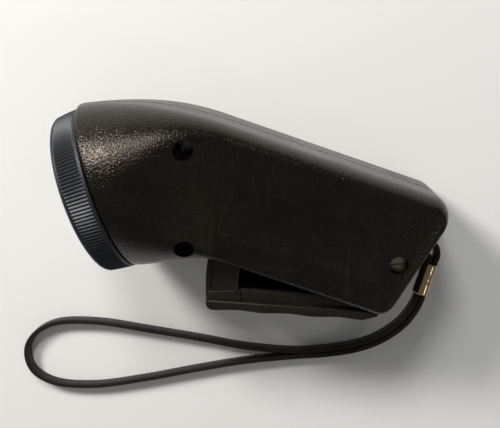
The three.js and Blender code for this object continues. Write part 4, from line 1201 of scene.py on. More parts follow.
@dataclass(frozen=True)
class Section:
    """One cross-section of the case: where it stands, how wide it is and how its corners turn."""

    top: Vector
    bottom: Vector
    half: float
    top_edge: Pair
    bottom_edge: Pair

    def outline(self, inset: float) -> list[Vector]:
        """Gives one side's outline, from the middle of the top to the middle of the bottom.

        Args:
            inset: How far inside the surface it runs.

        Returns:
            Points of the distance from the seam and the height over the bottom.
        """
        height = (self.top - self.bottom).length - 2 * inset
        half = self.half - inset
        (tw, tr), (bw, br) = (
            tuple(max(size - inset, STANCE.gap) for size in edge)
            for edge in (self.top_edge, self.bottom_edge))
        turns = evenly(0, QUARTER, CORNER_STEPS)
        return [
            Vector((0, height)),
            *(Vector((half - tw + tw * math.sin(t), height - tr + tr * math.cos(t)))
              for t in turns),
            *(Vector((half - bw + bw * math.cos(t), br - br * math.sin(t))) for t in turns),
            Vector((0, 0))]

    def ring(
        self, side: Side, inset: float, split: float, count: int, lip: float,
    ) -> list[Vector]:
        """Gives a closed ring of points round one half of the section.

        Args:
            side: Which half.
            inset: How far inside the surface it runs.
            split: The ring's distance from the seam plane.
            count: Points along its evenly spaced part.
            lip: The rounding of its edges at the seam.

        Returns:
            The ring, in the grip frame.
        """
        line = self.outline(inset)
        if split < 0:
            line = [Vector((split, line[0].y)), *line, Vector((split, 0))]
        else:
            rim = [i for i, point in enumerate(line) if point.x > split]
            first, last = rim[0], rim[-1]
            line = [
                cut_at(line[first - 1], line[first], split), *line[first:last + 1],
                cut_at(line[last + 1], line[last], split)]
        total = sum((b - a).length for a, b in zip(line, line[1:]))
        ends = [lip * share for share in LIP_STEPS] if lip else [0]
        middle = evenly(ends[-1], total - ends[-1], count - 1)
        spread = ends[:-1] + middle + [total - end for end in reversed(ends[:-1])]
        up = (self.top - self.bottom).normalized()
        base = self.bottom + up * inset
        height = (self.top - self.bottom).length - 2 * inset
        ring = []
        for point in along_line(line, spread):
            lift = point.y
            near = (point.x - split) / lip if lip else 1.0
            if near < 1.0:
                fall = lip * (1 - math.sqrt(max(1 - (1 - near) ** 2, 0.0)))
                lift += fall if lift < height / 2 else -fall
            spot = base + up * lift
            ring.append(Vector((spot.x, spot.y, side.value * point.x)))
        return ring


def cut_at(inner: Vector, outer: Vector, level: float) -> Vector:
    """Gives the point between two others where x reaches a level."""
    return inner.lerp(outer, (level - inner.x) / (outer.x - inner.x))


@dataclass(frozen=True)
class Post:
    """A round post inside one half of the case, from a free end out to the side wall."""

    spot: Sequence[float]
    radius: float
    end: float
    outer: float = 30.0


@dataclass(frozen=True)
class Bearing:
    """A post of the lower half with a blind hole for a shaft or a screw.

    Its place is in shares of the grip, and its heights are depths under the seam.
    """

    along: float
    up: float
    radius: float
    end: float
    bore: float
    bore_floor: float
    bore_mouth: float


@dataclass
class Case:
    """The two halves of the case, with their bosses, wells, slot, window and label recess."""

    frames: Frames
    length: float = 98.0
    height: float = 40.8
    half_width: float = 20.0
    wall: float = 2.0
    top_edge: Pair = (9.0, 4.0)
    bottom_edge: Pair = (3.0, 3.0)
    head_top: float = 28.3
    head_bottom: float = 26.8
    head_half_width: float = 26.9
    neck_radius: float = 23.5
    neck_back: float = -0.8
    neck_chamfer: float = 0.3
    seam: float = 0.15
    seam_rounding: float = 0.35
    well_radius: float = 3.0
    seats: tuple[Triple, ...] = (
        (0.198, 0.75, 8.406), (0.296, 0.044, 8.406), (0.95397, 0.4341, 15.48))
    screw_hole: float = 1.55
    pilot_hole: float = 1.45
    pilot_depth: float = 11.0
    strap_pin: Pair = (1.0122, 0.5515)
    strap_pin_radius: float = 1.25
    strap_pin_hole: Triple = (1.45, -7.3, 7.3)
    strap_post: Triple = (2.4, 3.9, 8.0)
    strap_room: float = 2.7
    label: tuple[Pair, Pair] = ((0.383, 0.245), (0.908, 0.608))
    label_depth: float = 0.31
    label_corner: float = 0.6
    label_slope: float = 1.72
    slot_half: float = 14.3
    slot_front: float = 35.7
    window_half: float = 3.2
    boss_floor: float = 2.4
    boss_radius: float = 4.2
    lower_boss_radius: float = 3.6
    hinge_radius: float = 3.2
    hinge_hole: float = 1.7
    hinge_end: float = 13.8
    hinge_bore: Pair = (13.3, 17.46)
    rotor_bush: Pair = (0.7907, 0.4549)
    rotor_boss: Pair = (3.7, 15.57)
    rotor_seat: Triple = (2.5, 15.07, 18.07)
    bearings: tuple[Bearing, ...] = (
        Bearing(0.5337, 0.4294, 3.0, 13.72, 1.7, 17.46, 13.22),
        Bearing(0.6642, 0.6032, 3.0, 8.82, 1.7, 17.46, 8.32),
        Bearing(0.7907, 0.4549, 3.7, 5.13, 2.5, 7.63, 4.63),
        Bearing(0.398, 0.772, 2.25, 1.29, 1.45, 7.3, 0.8),
        Bearing(0.806, 0.85, 2.25, 1.29, 1.45, 7.3, 0.8),
        Bearing(0.7142, 0.249, 2.25, 1.29, 1.45, 7.3, 0.8))
    bulkhead: Pair = (-12.5, -11.0)
    lamp_hole: float = 7.0
    head_rows: int = 44
    grip_rows: int = 20
    tail_rows: int = 8
    points: int = 120
    head_table: tuple[Triple, ...] = (
        (0, 1, 0.02), (0.08, 1.06, 0.06), (0.2, 1.1, 0.15), (0.34, 1.05, 0.29),
        (0.5, 0.9, 0.48), (0.66, 0.64, 0.68), (0.82, 0.3, 0.87), (1, 0.04, 0.985))
    tail_reach: tuple[float, float, float, float] = (0.056, 0.115, 0.0398, 0.091)
    tail_narrowing: float = 0.065
    front_rounding: tuple[Pair, ...] = (
        (0, 0.55), (0.003, 0.3), (0.009, 0.1), (0.02, 0.0))

    @property
    def beam(self) -> Vector:
        """The way that the light shines, in the grip frame."""
        return Vector((-math.cos(STANCE.bend), -math.sin(STANCE.bend), 0))

    @property
    def outside(self) -> float:
        """A distance from the seam that lies well outside the case."""
        return self.head_half_width + 6

    def at(self, along: float, up: float) -> Vector:
        """Gives a point from its shares of the grip's length and height."""
        return Vector((along * self.length, up * self.height - STANCE.grip_drop))

    def head_section(self, step: float) -> Section:
        """Gives the section at a step along the head, from the bezel to the grip."""
        up = Vector((-math.sin(STANCE.bend), math.cos(STANCE.bend)))
        tops = [up * self.head_top, self.at(0.051, 1), self.at(0.291, 1)]
        bottoms = [
            -up * self.head_bottom, self.at(0.2245, -0.27), self.at(0.316, 0), self.at(0.388, 0)]
        rest = 1 - step
        top = tops[0] * rest ** 2 + tops[1] * 2 * rest * step + tops[2] * step ** 2
        weights = (rest ** 3, 3 * rest ** 2 * step, 3 * rest * step ** 2, step ** 3)
        bottom = sum((point * weight for point, weight in zip(bottoms, weights)), Vector((0, 0)))
        width_share, box_share = curve_through(self.head_table, step)
        half = self.half_width + (self.head_half_width - self.half_width) * width_share
        round_rise = (top - bottom).length / 2
        edges = [
            tuple(full + (edge - full) * box_share for full, edge in zip((half, round_rise), sizes))
            for sizes in (self.top_edge, self.bottom_edge)]
        return Section(top, bottom, half, *edges)

    def tail_section(self, turn: float) -> Section:
        """Gives the section at a turn of the rear rounding, from nought to a quarter turn."""
        top_out, top_in, bottom_out, bottom_in = self.tail_reach
        out, sink = math.sin(turn), 1 - math.cos(turn)
        top = self.at(1 + top_out * out, 1 - top_in * sink)
        bottom = self.at(0.948 + bottom_out * out, bottom_in * sink)
        half = self.half_width * (1 - self.tail_narrowing * sink)
        return Section(top, bottom, half, self.top_edge, self.bottom_edge)

    def sections(self) -> list[tuple[Section, float]]:
        """Gives every section from the bezel to the tail, with its inset for rounded ends."""
        rows = [(self.head_section(step), inset) for step, inset in self.front_rounding]
        start = self.front_rounding[-1][0]
        rows += [
            (self.head_section(step), 0.0) for step in evenly(start, 1, self.head_rows)[1:]]
        first, last = rows[-1][0], self.tail_section(0)
        for share in evenly(0, 1, self.grip_rows)[1:-1]:
            ease = min(1.0, 4 * share)
            edges = [
                tuple(a + (b - a) * ease for a, b in zip(*pair)) for pair in (
                    (first.top_edge, last.top_edge), (first.bottom_edge, last.bottom_edge))]
            half = first.half + (last.half - first.half) * ease
            top, bottom = first.top.lerp(last.top, share), first.bottom.lerp(last.bottom, share)
            rows.append((Section(top, bottom, half, *edges), 0.0))
        return rows + [
            (self.tail_section(turn), 0.0) for turn in evenly(0, QUARTER, self.tail_rows)]

    def body(self, side: Side) -> Shape:
        """Shapes one half of the case as a solid."""
        return loft([
            section.ring(side, inset, self.seam, self.points, self.seam_rounding)
            for section, inset in self.sections()])

    def inside(self, side: Side, inset: float, split: float) -> Shape:
        """Shapes the space inside one half, clear of its surface.

        Args:
            side: Which half.
            inset: How far inside the surface it stays.
            split: Its edge's distance from the seam plane.

        Returns:
            The space.
        """
        rows = self.sections()[len(self.front_rounding)::2]
        space = loft([
            section.ring(side, inset, split, self.points // 2, 0) for section, _ in rows])
        space = halved(space, -self.beam, inset)
        tail = self.tail_section(QUARTER)
        edge = (tail.top - tail.bottom).normalized()
        tailward = Vector((edge.y, -edge.x, 0))
        return halved(space, -tailward, inset - tail.bottom.dot(tailward.xy))

    def rooms(self, side: Side) -> list[Shape]:
        """Shapes the rooms in one half, before and behind the wall that holds the lamp."""
        back, front = self.bulkhead
        return [
            halved(self.inside(side, self.wall, -STANCE.overrun), way, level)
            for way, level in ((self.beam, front), (-self.beam, -back))]

    def posts(self, side: Side) -> list[Post]:
        """Lists the posts inside one half of the case.

        The lower half's strap post, the last in its list, crosses the seam to the upper side. The
        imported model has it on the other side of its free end.

        Args:
            side: Which half.

        Returns:
            The posts.
        """
        sign = side.value
        floors = [(self.at(x, y), seat - self.boss_floor) for x, y, seat in self.seats]
        radius, end, outer = self.strap_post
        shared = [
            Post(self.frames.pivot.xy, self.hinge_radius, sign * self.hinge_end),
            Post(self.at(*self.strap_pin), radius, sign * end, sign * outer)]
        if side is Side.UPPER:
            bosses = [Post(spot, self.boss_radius, floor) for spot, floor in floors]
            return [*bosses, Post(self.at(*self.rotor_bush), *self.rotor_boss), *shared]
        bosses = [Post(spot, self.lower_boss_radius, floor - STANCE.gap) for spot, floor in floors]
        shafts = [Post(self.at(one.along, one.up), one.radius, -one.end) for one in self.bearings]
        return [*bosses, *shafts, *shared]

    def make_posts(self, side: Side) -> list[Piece]:
        """Shapes the posts up to the seam, and the lower half's on past it in the upper half."""
        kept = [(self.wall / 2, self.seam, 0.0)]
        if side is Side.LOWER:
            kept.append((self.wall + STANCE.gap, -self.head_half_width, 0.02))
        grip = self.frames.grip
        made = []
        for inset, split, slack in kept:
            bars = together([
                rod(post.spot, post.radius - slack, *sorted((post.end, side.value * post.outer)))
                for post in self.posts(side)])
            posts = finished("posts", bars, grip)
            work(posts, [self.inside(side, inset, split)], grip, Cut.KEEP)
            made.append(posts)
        return made

    def holes(self, side: Side) -> list[Shape]:
        """Shapes the round holes in one half: the wells and the seats of screws and pins."""
        made = []
        for x, y, seat in self.seats:
            spot, floor = self.at(x, y), seat - self.boss_floor
            if side is Side.UPPER:
                past = STANCE.overrun
                made.append(rod(spot, self.well_radius, seat, self.outside, 64))
                made.append(rod(spot, self.screw_hole, floor - past, seat + past, 32))
            else:
                bottom = floor - STANCE.gap - self.pilot_depth
                made.append(rod(spot, self.pilot_hole, bottom, floor, 32))
        hinge = sorted(side.value * level for level in self.hinge_bore)
        made.append(rod(self.frames.pivot.xy, self.hinge_hole, *hinge, 32))
        made.append(rod(self.at(*self.strap_pin), *self.strap_pin_hole, 32))
        if side is Side.UPPER:
            return [*made, rod(self.at(*self.rotor_bush), *self.rotor_seat, 32)]
        return made + [
            rod(self.at(one.along, one.up), one.bore, -one.bore_floor, -one.bore_mouth, 32)
            for one in self.bearings]

    def openings(self) -> list[Shape]:
        """Shapes the strap's window and the lever's slot, which both halves share."""
        pin, pivot = self.at(*self.strap_pin), self.frames.pivot
        turn = self.strap_pin_radius + STANCE.gap + self.strap_room
        hinge = pivot.y - self.hinge_radius - STANCE.gap
        middle = -STANCE.grip_drop - self.height / 2
        return [
            block(
                (pin.x - self.strap_pin_radius, pin.y - turn, -self.window_half),
                (pin.x + self.outside, pin.y + turn, self.window_half)),
            block(
                (self.slot_front, middle, -self.slot_half),
                (self.length + self.outside, hinge, self.slot_half))]

    def label_cutter(self) -> Shape:
        """Shapes the cutter of the label recess, with sloped sides and rounded corners."""
        (left, low), (right, high) = (self.at(*corner) for corner in self.label)
        rings = []
        for rise in (0.0, 2 * self.label_depth):
            level = self.half_width - self.label_depth + rise
            grow = rise * self.label_slope
            half = ((right - left) / 2 + grow, (high - low) / 2 + grow)
            rings.append([
                Vector(((left + right) / 2 + x, (low + high) / 2 + y, level))
                for x, y in rounded_box(*half, self.label_corner + grow)])
        return loft(rings)

    def neck(self, side: Side) -> Shape:
        """Shapes the half of the neck that the bezel turns on."""
        inner, end = self.neck_radius - self.wall, STANCE.neck_length
        tube = turned([
            (self.neck_radius, self.neck_back), (self.neck_radius, end - self.neck_chamfer),
            (self.neck_radius - self.neck_chamfer, end), (inner, end), (inner, self.neck_back),
        ], 96)
        return halved(tube, Vector((side.value, 0, 0)), self.seam)

    def paint_label(self, shell: Piece) -> None:
        """Looks for the faces of the label recess, for the shell's second look.

        It finds none: its places are divided by MM once too often, so they come out too large,
        and the recess keeps the shell's first look.

        Args:
            shell: The upper half of the case.
        """
        margin = self.label_depth * self.label_slope
        low, high = (
            self.at(*corner) + Vector((sign, sign)) * margin
            for corner, sign in zip(self.label, (-1, 1)))
        back = self.frames.grip.inverted()
        outward = back.transposed().to_3x3().col[2]
        for face in shell.data.polygons:
            spot = (back @ face.center) / MM
            sunk = spot.z < self.half_width - 0.01 and face.normal.dot(outward) > 0
            if sunk and low.x < spot.x < high.x and low.y < spot.y < high.y:
                face.material_index = 1

    def make(self, side: Side, name: str, node: str) -> None:
        """Builds one half of the case.

        Args:
            side: Which half.
            name: The piece's name.
            node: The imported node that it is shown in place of.
        """
        grip, head = self.frames.grip, self.frames.head
        shell = finished(name, self.body(side), grip)
        work(shell, self.rooms(side), grip, Cut.TAKE)
        mouth = rod((0, 0), self.neck_radius - self.wall, -self.wall - 1, 8, 96)
        lamp = rod((0, 0), self.lamp_hole, -14.0, -9.0, 96)
        work(shell, [mouth, lamp], head, Cut.TAKE)
        for posts in self.make_posts(side):
            carve(shell, posts, Cut.ADD)
        work(shell, self.holes(side) + self.openings(), grip, Cut.TAKE)
        if side is Side.UPPER:
            work(shell, [self.label_cutter()], grip, Cut.TAKE)
        work(shell, [self.neck(side)], head, Cut.ADD)
        smooth(shell, 32)
        looks = [CASE_BLACK]
        if side is Side.UPPER:
            looks.append(LABEL_BLACK)
            self.paint_label(shell)
        dress(shell, looks, "case", [node])


# Lamp head, in the head frame


@dataclass(frozen=True)
class LampHead:
    """The ribbed bezel, the lens, the reflector and the bulb."""

    frames: Frames
    bore: float = 23.8
    radius: float = 27.0
    back: float = 0.3
    rim: float = 1.0
    band_end: float = 8.2
    band_taper: float = 0.7
    rib_depth: float = 0.4
    ribs: int = 150
    nose_radius: float = 24.9
    front: float = 9.6
    lip_bore: float = 21.2
    lip_back: float = 8.3
    lens_radius: float = 23.2
    lens_back: float = 6.4
    lens_front: float = 8.0
    throat: float = 6.4
    throat_back: float = -5.6
    throat_end: float = -8.8
    cup_front: float = 5.3
    cup_rim: float = 20.3
    cup_wall: float = 0.9
    flange_front: float = 6.1
    ball_radius: float = 5.5
    ball_centre: float = -1.0
    glass_wall: float = 0.4
    neck_radius: float = 4.4
    neck_back: float = -10.2
    cap_radius: float = 4.7
    cap_front: float = -10.5
    cap_back: float = -19.2
    thread_pitch: float = 1.75
    thread_depth: float = 0.4
    filament_half: float = 1.5
    filament_rise: float = 0.6
    filament_coil: float = 0.22

    def nose(self, start: Pair) -> list[Pair]:
        """Gives the round-over of the bezel, from the end of its band to its front."""
        spread, height = start[0] - self.nose_radius, self.front - 0.35 - start[1]
        return [
            (self.nose_radius + spread * math.cos(turn) ** 0.8,
             start[1] + height * math.sin(turn) ** 1.1)
            for turn in evenly(0, QUARTER, 8)]

    def bezel(self) -> Shape:
        """Shapes the bezel and presses the ribs into its band."""
        rim_end = self.back + self.rim
        run = self.band_end - rim_end
        band = [
            (self.radius - self.band_taper * share ** 1.5, rim_end + run * share)
            for share in (0.0, 0.012, 0.06, 0.3, 0.5, 0.7, 0.85, 0.94, 0.988, 1.0)]
        radius, nose, bore, front = self.radius, self.nose_radius, self.lip_bore, self.front
        profile = [
            (self.bore, self.back), (radius - 0.25, self.back), (radius - 0.07, self.back + 0.07),
            (radius, self.back + 0.25), (radius, rim_end - 0.12), *band,
            *self.nose((band[-1][0] - 0.75 * self.rib_depth, self.band_end + 0.1)),
            (nose - 0.12, front - 0.1), (nose - 0.35, front),
            (bore + 0.3, front), (bore + 0.08, front - 0.08), (bore, front - 0.3),
            (bore, self.lip_back), (self.bore, self.lip_back)]
        depths = (0.0, 0.5, 1.0, 0.5)
        steps = len(depths) * self.ribs
        shape = turned(profile, steps)
        for vert in shape.verts:
            spread = vert.co.xy.length
            share = (vert.co.z - rim_end) / run
            if spread < radius - self.band_taper - 1e-3 or not -1e-3 < share < 1.001:
                continue
            fade = min(1.0, 0.25 + 25 * min(share, 1 - share))
            step = round(math.atan2(vert.co.y, vert.co.x) / TURN * steps) % len(depths)
            sink = self.rib_depth * depths[step] * fade + (0.0 if 0 < share < 1 else 0.1)
            vert.co.xy *= (spread - sink) / spread
        return shape

    def lens(self) -> Shape:
        """Shapes the lens, a disc with a faintly domed face."""
        radius, back, front = self.lens_radius, self.lens_back, self.lens_front
        dome = [
            (radius * (1 - share), front + 0.2 * math.sin(QUARTER * share))
            for share in evenly(0, 1, 8)]
        return turned([
            (0, back), (radius - 0.15, back), (radius, back + 0.15), (radius, front - 0.1), *dome,
        ], 128, False)

    def reflector(self) -> Shape:
        """Shapes the reflector as a smooth bowl with a seat for the bulb."""
        depth = self.cup_front - self.throat_back
        spread = (self.cup_rim ** 2 - self.throat ** 2) / depth
        cup = [
            (math.sqrt(self.throat ** 2 + spread * run), self.throat_back + run)
            for run in evenly(0, depth, 24)]
        shell = [(radius + self.cup_wall, height) for radius, height in reversed(cup)]
        flange, back, front = self.lens_radius, self.cup_front, self.flange_front
        return turned([
            *cup, (self.cup_rim + 0.1, front), (flange - 0.15, front), (flange, front - 0.15),
            (flange, back + 0.1), (flange - 0.1, back), *shell,
            (self.throat + self.cup_wall, self.throat_end), (self.throat, self.throat_end),
        ], 128)

    def skin(self, shrink: float) -> list[Pair]:
        """Gives the outline of the bulb's glass, shrunk, from its tip to its neck."""
        ball, neck = self.ball_radius - shrink, self.neck_radius - shrink
        dome = [
            (ball * math.cos(turn), self.ball_centre + ball * math.sin(turn))
            for turn in evenly(QUARTER, -math.acos(neck / ball), 20)]
        return [(0.0, dome[0][1]), *dome[1:], (neck, self.neck_back)]

    def bulb(self) -> Shape:
        """Shapes the bulb's hollow glass, open at its neck."""
        return turned([*self.skin(0), *reversed(self.skin(self.glass_wall))], 64, False)

    def cap(self) -> Shape:
        """Shapes the bulb's brass cap and rolls its thread."""
        radius, back, front = self.cap_radius, self.cap_back, self.cap_front
        low, high = back + 0.6, front - 0.7
        shape = turned([
            (0, back - 0.6), (1.2, back - 0.6), (1.55, back - 0.45), (1.6, back), (3.7, back),
            (4.25, back + 0.2), *((radius, height) for height in evenly(low, high, 48)),
            (radius, front - 0.1), (radius - 0.1, front), (0, front),
        ], 72, False)
        for vert in shape.verts:
            spread = vert.co.xy.length
            if abs(spread - radius) < 1e-3 and low - 1e-3 < vert.co.z < high + 1e-3:
                fade = min(1.0, (vert.co.z - low) / 0.8 + 0.2, (high - vert.co.z) / 0.8 + 0.2)
                angle = TURN * vert.co.z / self.thread_pitch - math.atan2(vert.co.y, vert.co.x)
                sink = self.thread_depth * fade * (1 - math.cos(angle)) / 2
                vert.co.xy *= (spread - sink) / spread
        return shape

    def filament(self) -> Shape:
        """Shapes the bulb's filament with its two posts and the glass bead that holds them."""
        half, turn, foot = self.filament_half, self.filament_coil, self.cap_front
        level = self.ball_centre + self.filament_rise
        coil = [
            Vector((
                x, turn * math.cos(math.pi * i / 4), level + turn * math.sin(math.pi * i / 4)))
            for i, x in enumerate(evenly(-half, half, 96))]
        posts = [
            wire([
                Vector((side * x, 0, z)) for x, z in (
                    (0.9, foot + 0.05), (0.9, foot + 4), (1.2, foot + 6.5), (half, level + 0.02))
            ], 0.16, 8)
            for side in (-1, 1)]
        bead = bmesh.new()
        bmesh.ops.create_uvsphere(bead, u_segments=20, v_segments=12, radius=1.35)
        bmesh.ops.scale(bead, verts=bead.verts, vec=(1.0, 0.55, 0.6))
        bmesh.ops.translate(bead, verts=bead.verts, vec=(0, 0, foot + 3.2))
        return together([wire(coil, 0.07, 6), *posts, bead])

    def build(self) -> None:
        """Builds the pieces of the head."""
        carrier = "lens_carrier"
        pieces = (
            ("ribbed_bezel", self.bezel(), BEZEL_BLACK, "bezel", "bezel_plastic", "bezel_ring"),
            ("clear_lens", self.lens(), LENS_CLEAR, carrier, "lens_plastic", "lens"),
            ("bright_reflector", self.reflector(), REFLECTOR_BRIGHT, carrier, "reflector_metal",
             "reflector"),
            ("hollow_bulb", self.bulb(), BULB_CLEAR, "case", "bulb_glass", "bulb_glass"),
            ("threaded_bulb_cap", self.cap(), BRASS, "case", "brass", "bulb_cap"),
            ("bulb_filament", self.filament(), SPRING_WIRE, "case", "steel", ""),
        )
        for name, shape, look, body, slot, node in pieces:
            piece = finished(name, shape, self.frames.head)
            smooth(piece, 50 if body == "case" else 35)
            dress(piece, [look], body, [node] if node else [])


# Lever, in the lever frame


@dataclass(frozen=True)
class SqueezeLever:
    """The lever: its wavy pad, its side walls, the arc arm with its lip, and the rack."""

    frames: Frames
    gear_spot: Pair = (52.303, 10.02)
    sector_teeth: int = 97
    pinion_teeth: int = 10
    rise: float = 0.92
    root: float = 1.2
    backlash: float = 0.14
    pressure_deg: float = 20.0
    pad_half: float = 15.5
    pad_thickness: float = 3.3
    pad_rounding: float = 0.55
    nose: float = 2.4
    tail_reach: float = 0.9
    tail_chamfer: float = 2.4
    waves: int = 3
    wave_height: float = 0.45
    wall_half: float = 13.5
    wall_thickness: float = 2.0
    wall_height: float = 4.0
    gusset: float = 11.0
    arm_depth: float = 10.6
    arm_rise: float = 12.5
    web_thickness: float = 2.0
    stop_reach: float = 1.9
    stop_height: float = 1.4
    groove_inset: float = 1.5
    groove_width: float = 0.7
    groove_depth: float = 0.7
    groove_foot: float = 3.0
    bead_width: float = 1.3
    bead_rise: float = 4.0
    trim_height: float = 0.45
    rack_width: float = 4.0
    rack_backing: float = 2.75
    hub_radius: float = 3.6
    pin_hole: float = 1.7
    running_gap: float = 0.2
    sink: float = 0.5

    @property
    def arm(self) -> Vector:
        """The line from the pivot to the first gear, in the grip frame."""
        return Vector(self.gear_spot) - self.frames.pivot.xy

    @property
    def module(self) -> float:
        """The rack's tooth module."""
        return 2 * self.arm.length / (self.sector_teeth - self.pinion_teeth)

    @property
    def pitch_radius(self) -> float:
        """The rack's pitch radius."""
        return self.sector_teeth * self.module / 2

    @property
    def arm_inner(self) -> float:
        """The arm's inner radius."""
        return self.pitch_radius - self.rise * self.module

    @property
    def arm_outer(self) -> float:
        """The arm's outer radius."""
        return self.arm_inner + self.arm_depth

    @property
    def ridge(self) -> float:
        """How far the pad's top lies below the pivot."""
        return self.frames.pivot.y + STANCE.grip_drop + STANCE.gap

    def above(self, height: float) -> float:
        """Gives the angle at which the arm's outer edge is a height above the pivot."""
        return math.pi - math.asin(height / self.arm_outer)

    def sector(
        self, low: float, high: float, start: float, end: float,
    ) -> list[Pair]:
        """Gives the outline of a piece of ring, between two radii and two angles."""
        turns = evenly(start, end, max(2, round(math.degrees(end - start))))
        outer = [(high * math.cos(turn), high * math.sin(turn)) for turn in turns]
        return outer + [(low * math.cos(turn), low * math.sin(turn)) for turn in reversed(turns)]

    def pad(self) -> Shape:
        """Shapes the finger pad, with its waves and rounded edges."""
        top, under = -self.ridge, -self.ridge - self.pad_thickness
        reach = math.sqrt(self.arm_outer ** 2 - self.ridge ** 2)
        front = -reach - self.running_gap / 2
        start = self.nose - reach
        end = self.tail_reach - 2 * self.tail_chamfer
        outline = [(front, top)]
        for t in evenly(0, 1, 8)[1:]:
            early, middle, late = (1 - t) ** 2, 2 * t * (1 - t), t * t
            outline.append((
                front * (early + middle) + start * late, top * early + under * (middle + late)))
        for share in evenly(0, 1, 24 * self.waves)[1:]:
            lift = self.wave_height * (1 - math.cos(TURN * self.waves * share)) / 2
            outline.append((start + (end - start) * share, under + lift))
        outline += [(self.tail_reach, top - self.pad_thickness / 2), (self.tail_reach, top)]
        pad = prism(outline, -self.pad_half, self.pad_half)
        return eased(pad, self.pad_rounding, 25, 4)

    def rack(self) -> Shape:
        """Shapes the toothed rack inside the arm."""
        module, pitch = self.module, self.pitch_radius
        base = pitch * math.cos(math.radians(self.pressure_deg))

        def involute(radius: float) -> float:
            """Gives the involute angle at a radius."""
            angle = math.acos(min(1.0, base / radius))
            return math.tan(angle) - angle

        phase = math.atan2(self.arm.y, self.arm.x) - STANCE.lever_swing
        tooth = TURN / self.sector_teeth
        low, high = phase - 1.5 * tooth, phase + STANCE.lever_swing + 1.5 * tooth
        radii = evenly(pitch - self.rise * module, pitch + self.root * module, 4)
        space = math.pi / (2 * self.sector_teeth) + self.backlash / (2 * pitch) + involute(pitch)
        flank = [(radius, space - involute(max(radius, base))) for radius in radii]
        corners = []
        for k in range(-2, self.sector_teeth // 4):
            centre = phase + tooth * k
            corners += [(radius, centre - half) for radius, half in flank]
            corners += [(radius, centre + half) for radius, half in reversed(flank)]
        corners = [corner for corner in corners if low < corner[1] < high]
        back = pitch + self.root * module + self.rack_backing
        corners += [(back, angle) for angle in evenly(high, low, 12)]
        outline = [
            (radius * math.cos(angle), radius * math.sin(angle)) for radius, angle in corners]
        start = self.running_gap - self.wall_half
        return prism(outline, start, start + self.rack_width)

    def solids(self) -> list[Shape]:
        """Gives the lever's solids, the pad first."""
        depth = self.ridge + self.pad_thickness / 2
        top, foot = self.above(self.arm_rise), self.above(-depth)
        back, level = -self.arm_inner - self.sink, self.wall_height - self.ridge
        wall = [
            (back, -depth), (0, -depth), (self.hub_radius / 2, -self.hub_radius / 2), (0, 0),
            (-self.gusset, level), (back, level)]
        inner = self.wall_half - self.wall_thickness
        rack_root = self.pitch_radius + self.root * self.module
        made = [self.pad()]
        for low, high, inside in (
                (-self.wall_half, -inner, rack_root + STANCE.gap),
                (inner, self.wall_half, self.arm_inner)):
            arm = self.sector(inside, self.arm_outer, top, foot)
            made.append(eased(prism(wall, low, high), 0.3, segments=2))
            made.append(eased(rod((0, 0), self.hub_radius, low, high), 0.25, 60, 2))
            made.append(eased(prism(arm, low, high), 0.35))
        half = self.wall_half - self.sink
        stop_turn = self.stop_height / self.arm_outer
        web = self.sector(
            self.arm_outer - self.web_thickness, self.arm_outer - self.running_gap,
            top + stop_turn / 4, foot)
        stop = self.sector(
            self.arm_outer - 2 * self.sink, self.arm_outer + self.stop_reach, top, top + stop_turn)
        made.append(prism(web, -half, half))
        made.append(eased(prism(stop, -half, half), 0.25, segments=2))
        return [*made, self.rack()]

    def trims(self) -> list[Shape]:
        """Gives the raised back edge of the arm and the block at its foot."""
        inner, outer, ridge = self.arm_inner, self.arm_outer, self.ridge
        bead = self.sector(
            inner, inner + self.bead_width, self.above(self.wall_height + self.bead_rise),
            self.above(-ridge))
        shoulder = [
            (0.9 - outer, -ridge - 0.4), (1.2 - inner, -ridge - 0.4), (0.8 - inner, 3.4 - ridge),
            (1.2 - outer, 2.6 - ridge)]
        low, high = self.wall_half - self.sink, self.wall_half + self.trim_height
        return [eased(prism(trim, low, high), 0.3) for trim in (bead, shoulder)]

    def build(self) -> None:
        """Builds the lever."""
        frame = self.frames.lever
        pad, *solids = self.solids()
        lever = finished("squeeze_lever_moulding", pad, frame)
        work(lever, solids + self.trims(), frame, Cut.ADD)
        groove_back = self.arm_outer - self.groove_inset
        groove = self.sector(
            groove_back - self.groove_width, groove_back,
            self.above(self.arm_rise) - self.stop_height / self.arm_outer,
            self.above(self.groove_foot - self.ridge))
        cuts = [
            prism(groove, self.wall_half - self.groove_depth, self.wall_half + 2),
            rod((0, 0), self.pin_hole, -2 * self.wall_half, 2 * self.wall_half, 32)]
        work(lever, cuts, frame, Cut.TAKE)
        smooth(lever, 32)
        dress(lever, [LEVER_BLACK], "lever", ["squeeze_lever"])


# Screws


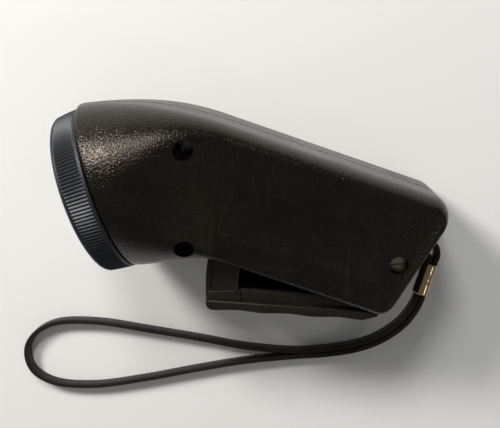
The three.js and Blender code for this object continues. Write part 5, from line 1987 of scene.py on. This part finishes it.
@dataclass(frozen=True)
class CaseScrew:
    """A slotted screw at the bottom of one of the case's wells."""

    frames: Frames
    name: str
    node: str
    spot: Vector
    seat: float
    slot_turn_deg: float
    head: float = 2.7
    height: float = 1.8
    crown: float = 0.32
    shank: float = 1.25
    length: float = 9.0
    slot_width: float = 0.7
    slot_depth: float = 0.8

    def build(self) -> None:
        """Builds the screw."""
        top, head = self.height, self.head
        crown = [
            (head * (1 - share), top - self.crown * (1 - math.sin(QUARTER * share)))
            for share in evenly(0, 1, 6)]
        shape = turned([
            (0, -self.length), (self.shank / 2, -self.length), (self.shank, 0.9 - self.length),
            (self.shank, 0.05), (head - 0.15, 0.05), (head, 0.2), (head, top - 0.45), *crown,
        ], 64, False)
        turn = Matrix.Rotation(math.radians(self.slot_turn_deg), 4, "Z")
        seat = Matrix.Translation((*self.spot, self.seat + STANCE.gap))
        frame = self.frames.grip @ seat @ turn
        screw = finished(self.name, shape, frame)
        reach, half = head + 1, self.slot_width / 2
        slot = block((-reach, -half, top - self.slot_depth), (reach, half, top + 1))
        work(screw, [slot], frame, Cut.TAKE)
        smooth(screw, 35)
        dress(screw, [SCREW_STEEL], "case", [self.node])


# Whole torch


class Torch:
    """The whole torch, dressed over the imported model."""

    def __init__(self, packed: dict[str, Any]) -> None:
        """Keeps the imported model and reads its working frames.
        """
        self.packed = packed
        self.frames = Frames(packed["joints"])

    def screws(self, case: Case) -> list[CaseScrew]:
        """Lists the three case screws."""
        turns = {"front_top_screw": 70.0, "front_bottom_screw": -25.0, "rear_screw": 26.0}
        return [
            CaseScrew(self.frames, f"{node}_steel", node, case.at(x, y), seat, turn)
            for (node, turn), (x, y, seat) in zip(turns.items(), case.seats)]

    def paint_nodes(self) -> None:
        """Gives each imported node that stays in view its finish."""
        for part in self.packed["record"]["subparts"]:
            node = self.packed["nodes"][part["node"]]
            finish = SLOT_FINISHES[part["material_slot"]]
            node.data.materials.clear()
            node.data.materials.append(finish.material())

    def build(self) -> None:
        """Builds the pieces, the cord first."""
        Strap(self.frames).build()
        case = Case(self.frames)
        case.make(Side.UPPER, "upper_case_half", "upper_shell")
        case.make(Side.LOWER, "lower_case_half", "lower_shell")
        LampHead(self.frames).build()
        SqueezeLever(self.frames).build()
        for screw in self.screws(case):
            screw.build()
        self.paint_nodes()


def main() -> None:
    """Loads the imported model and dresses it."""
    logging.basicConfig(level=logging.INFO)
    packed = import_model()
    check_names()
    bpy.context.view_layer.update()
    Studio().build()
    Torch(packed).build()


if __name__ == "__main__":
    main()
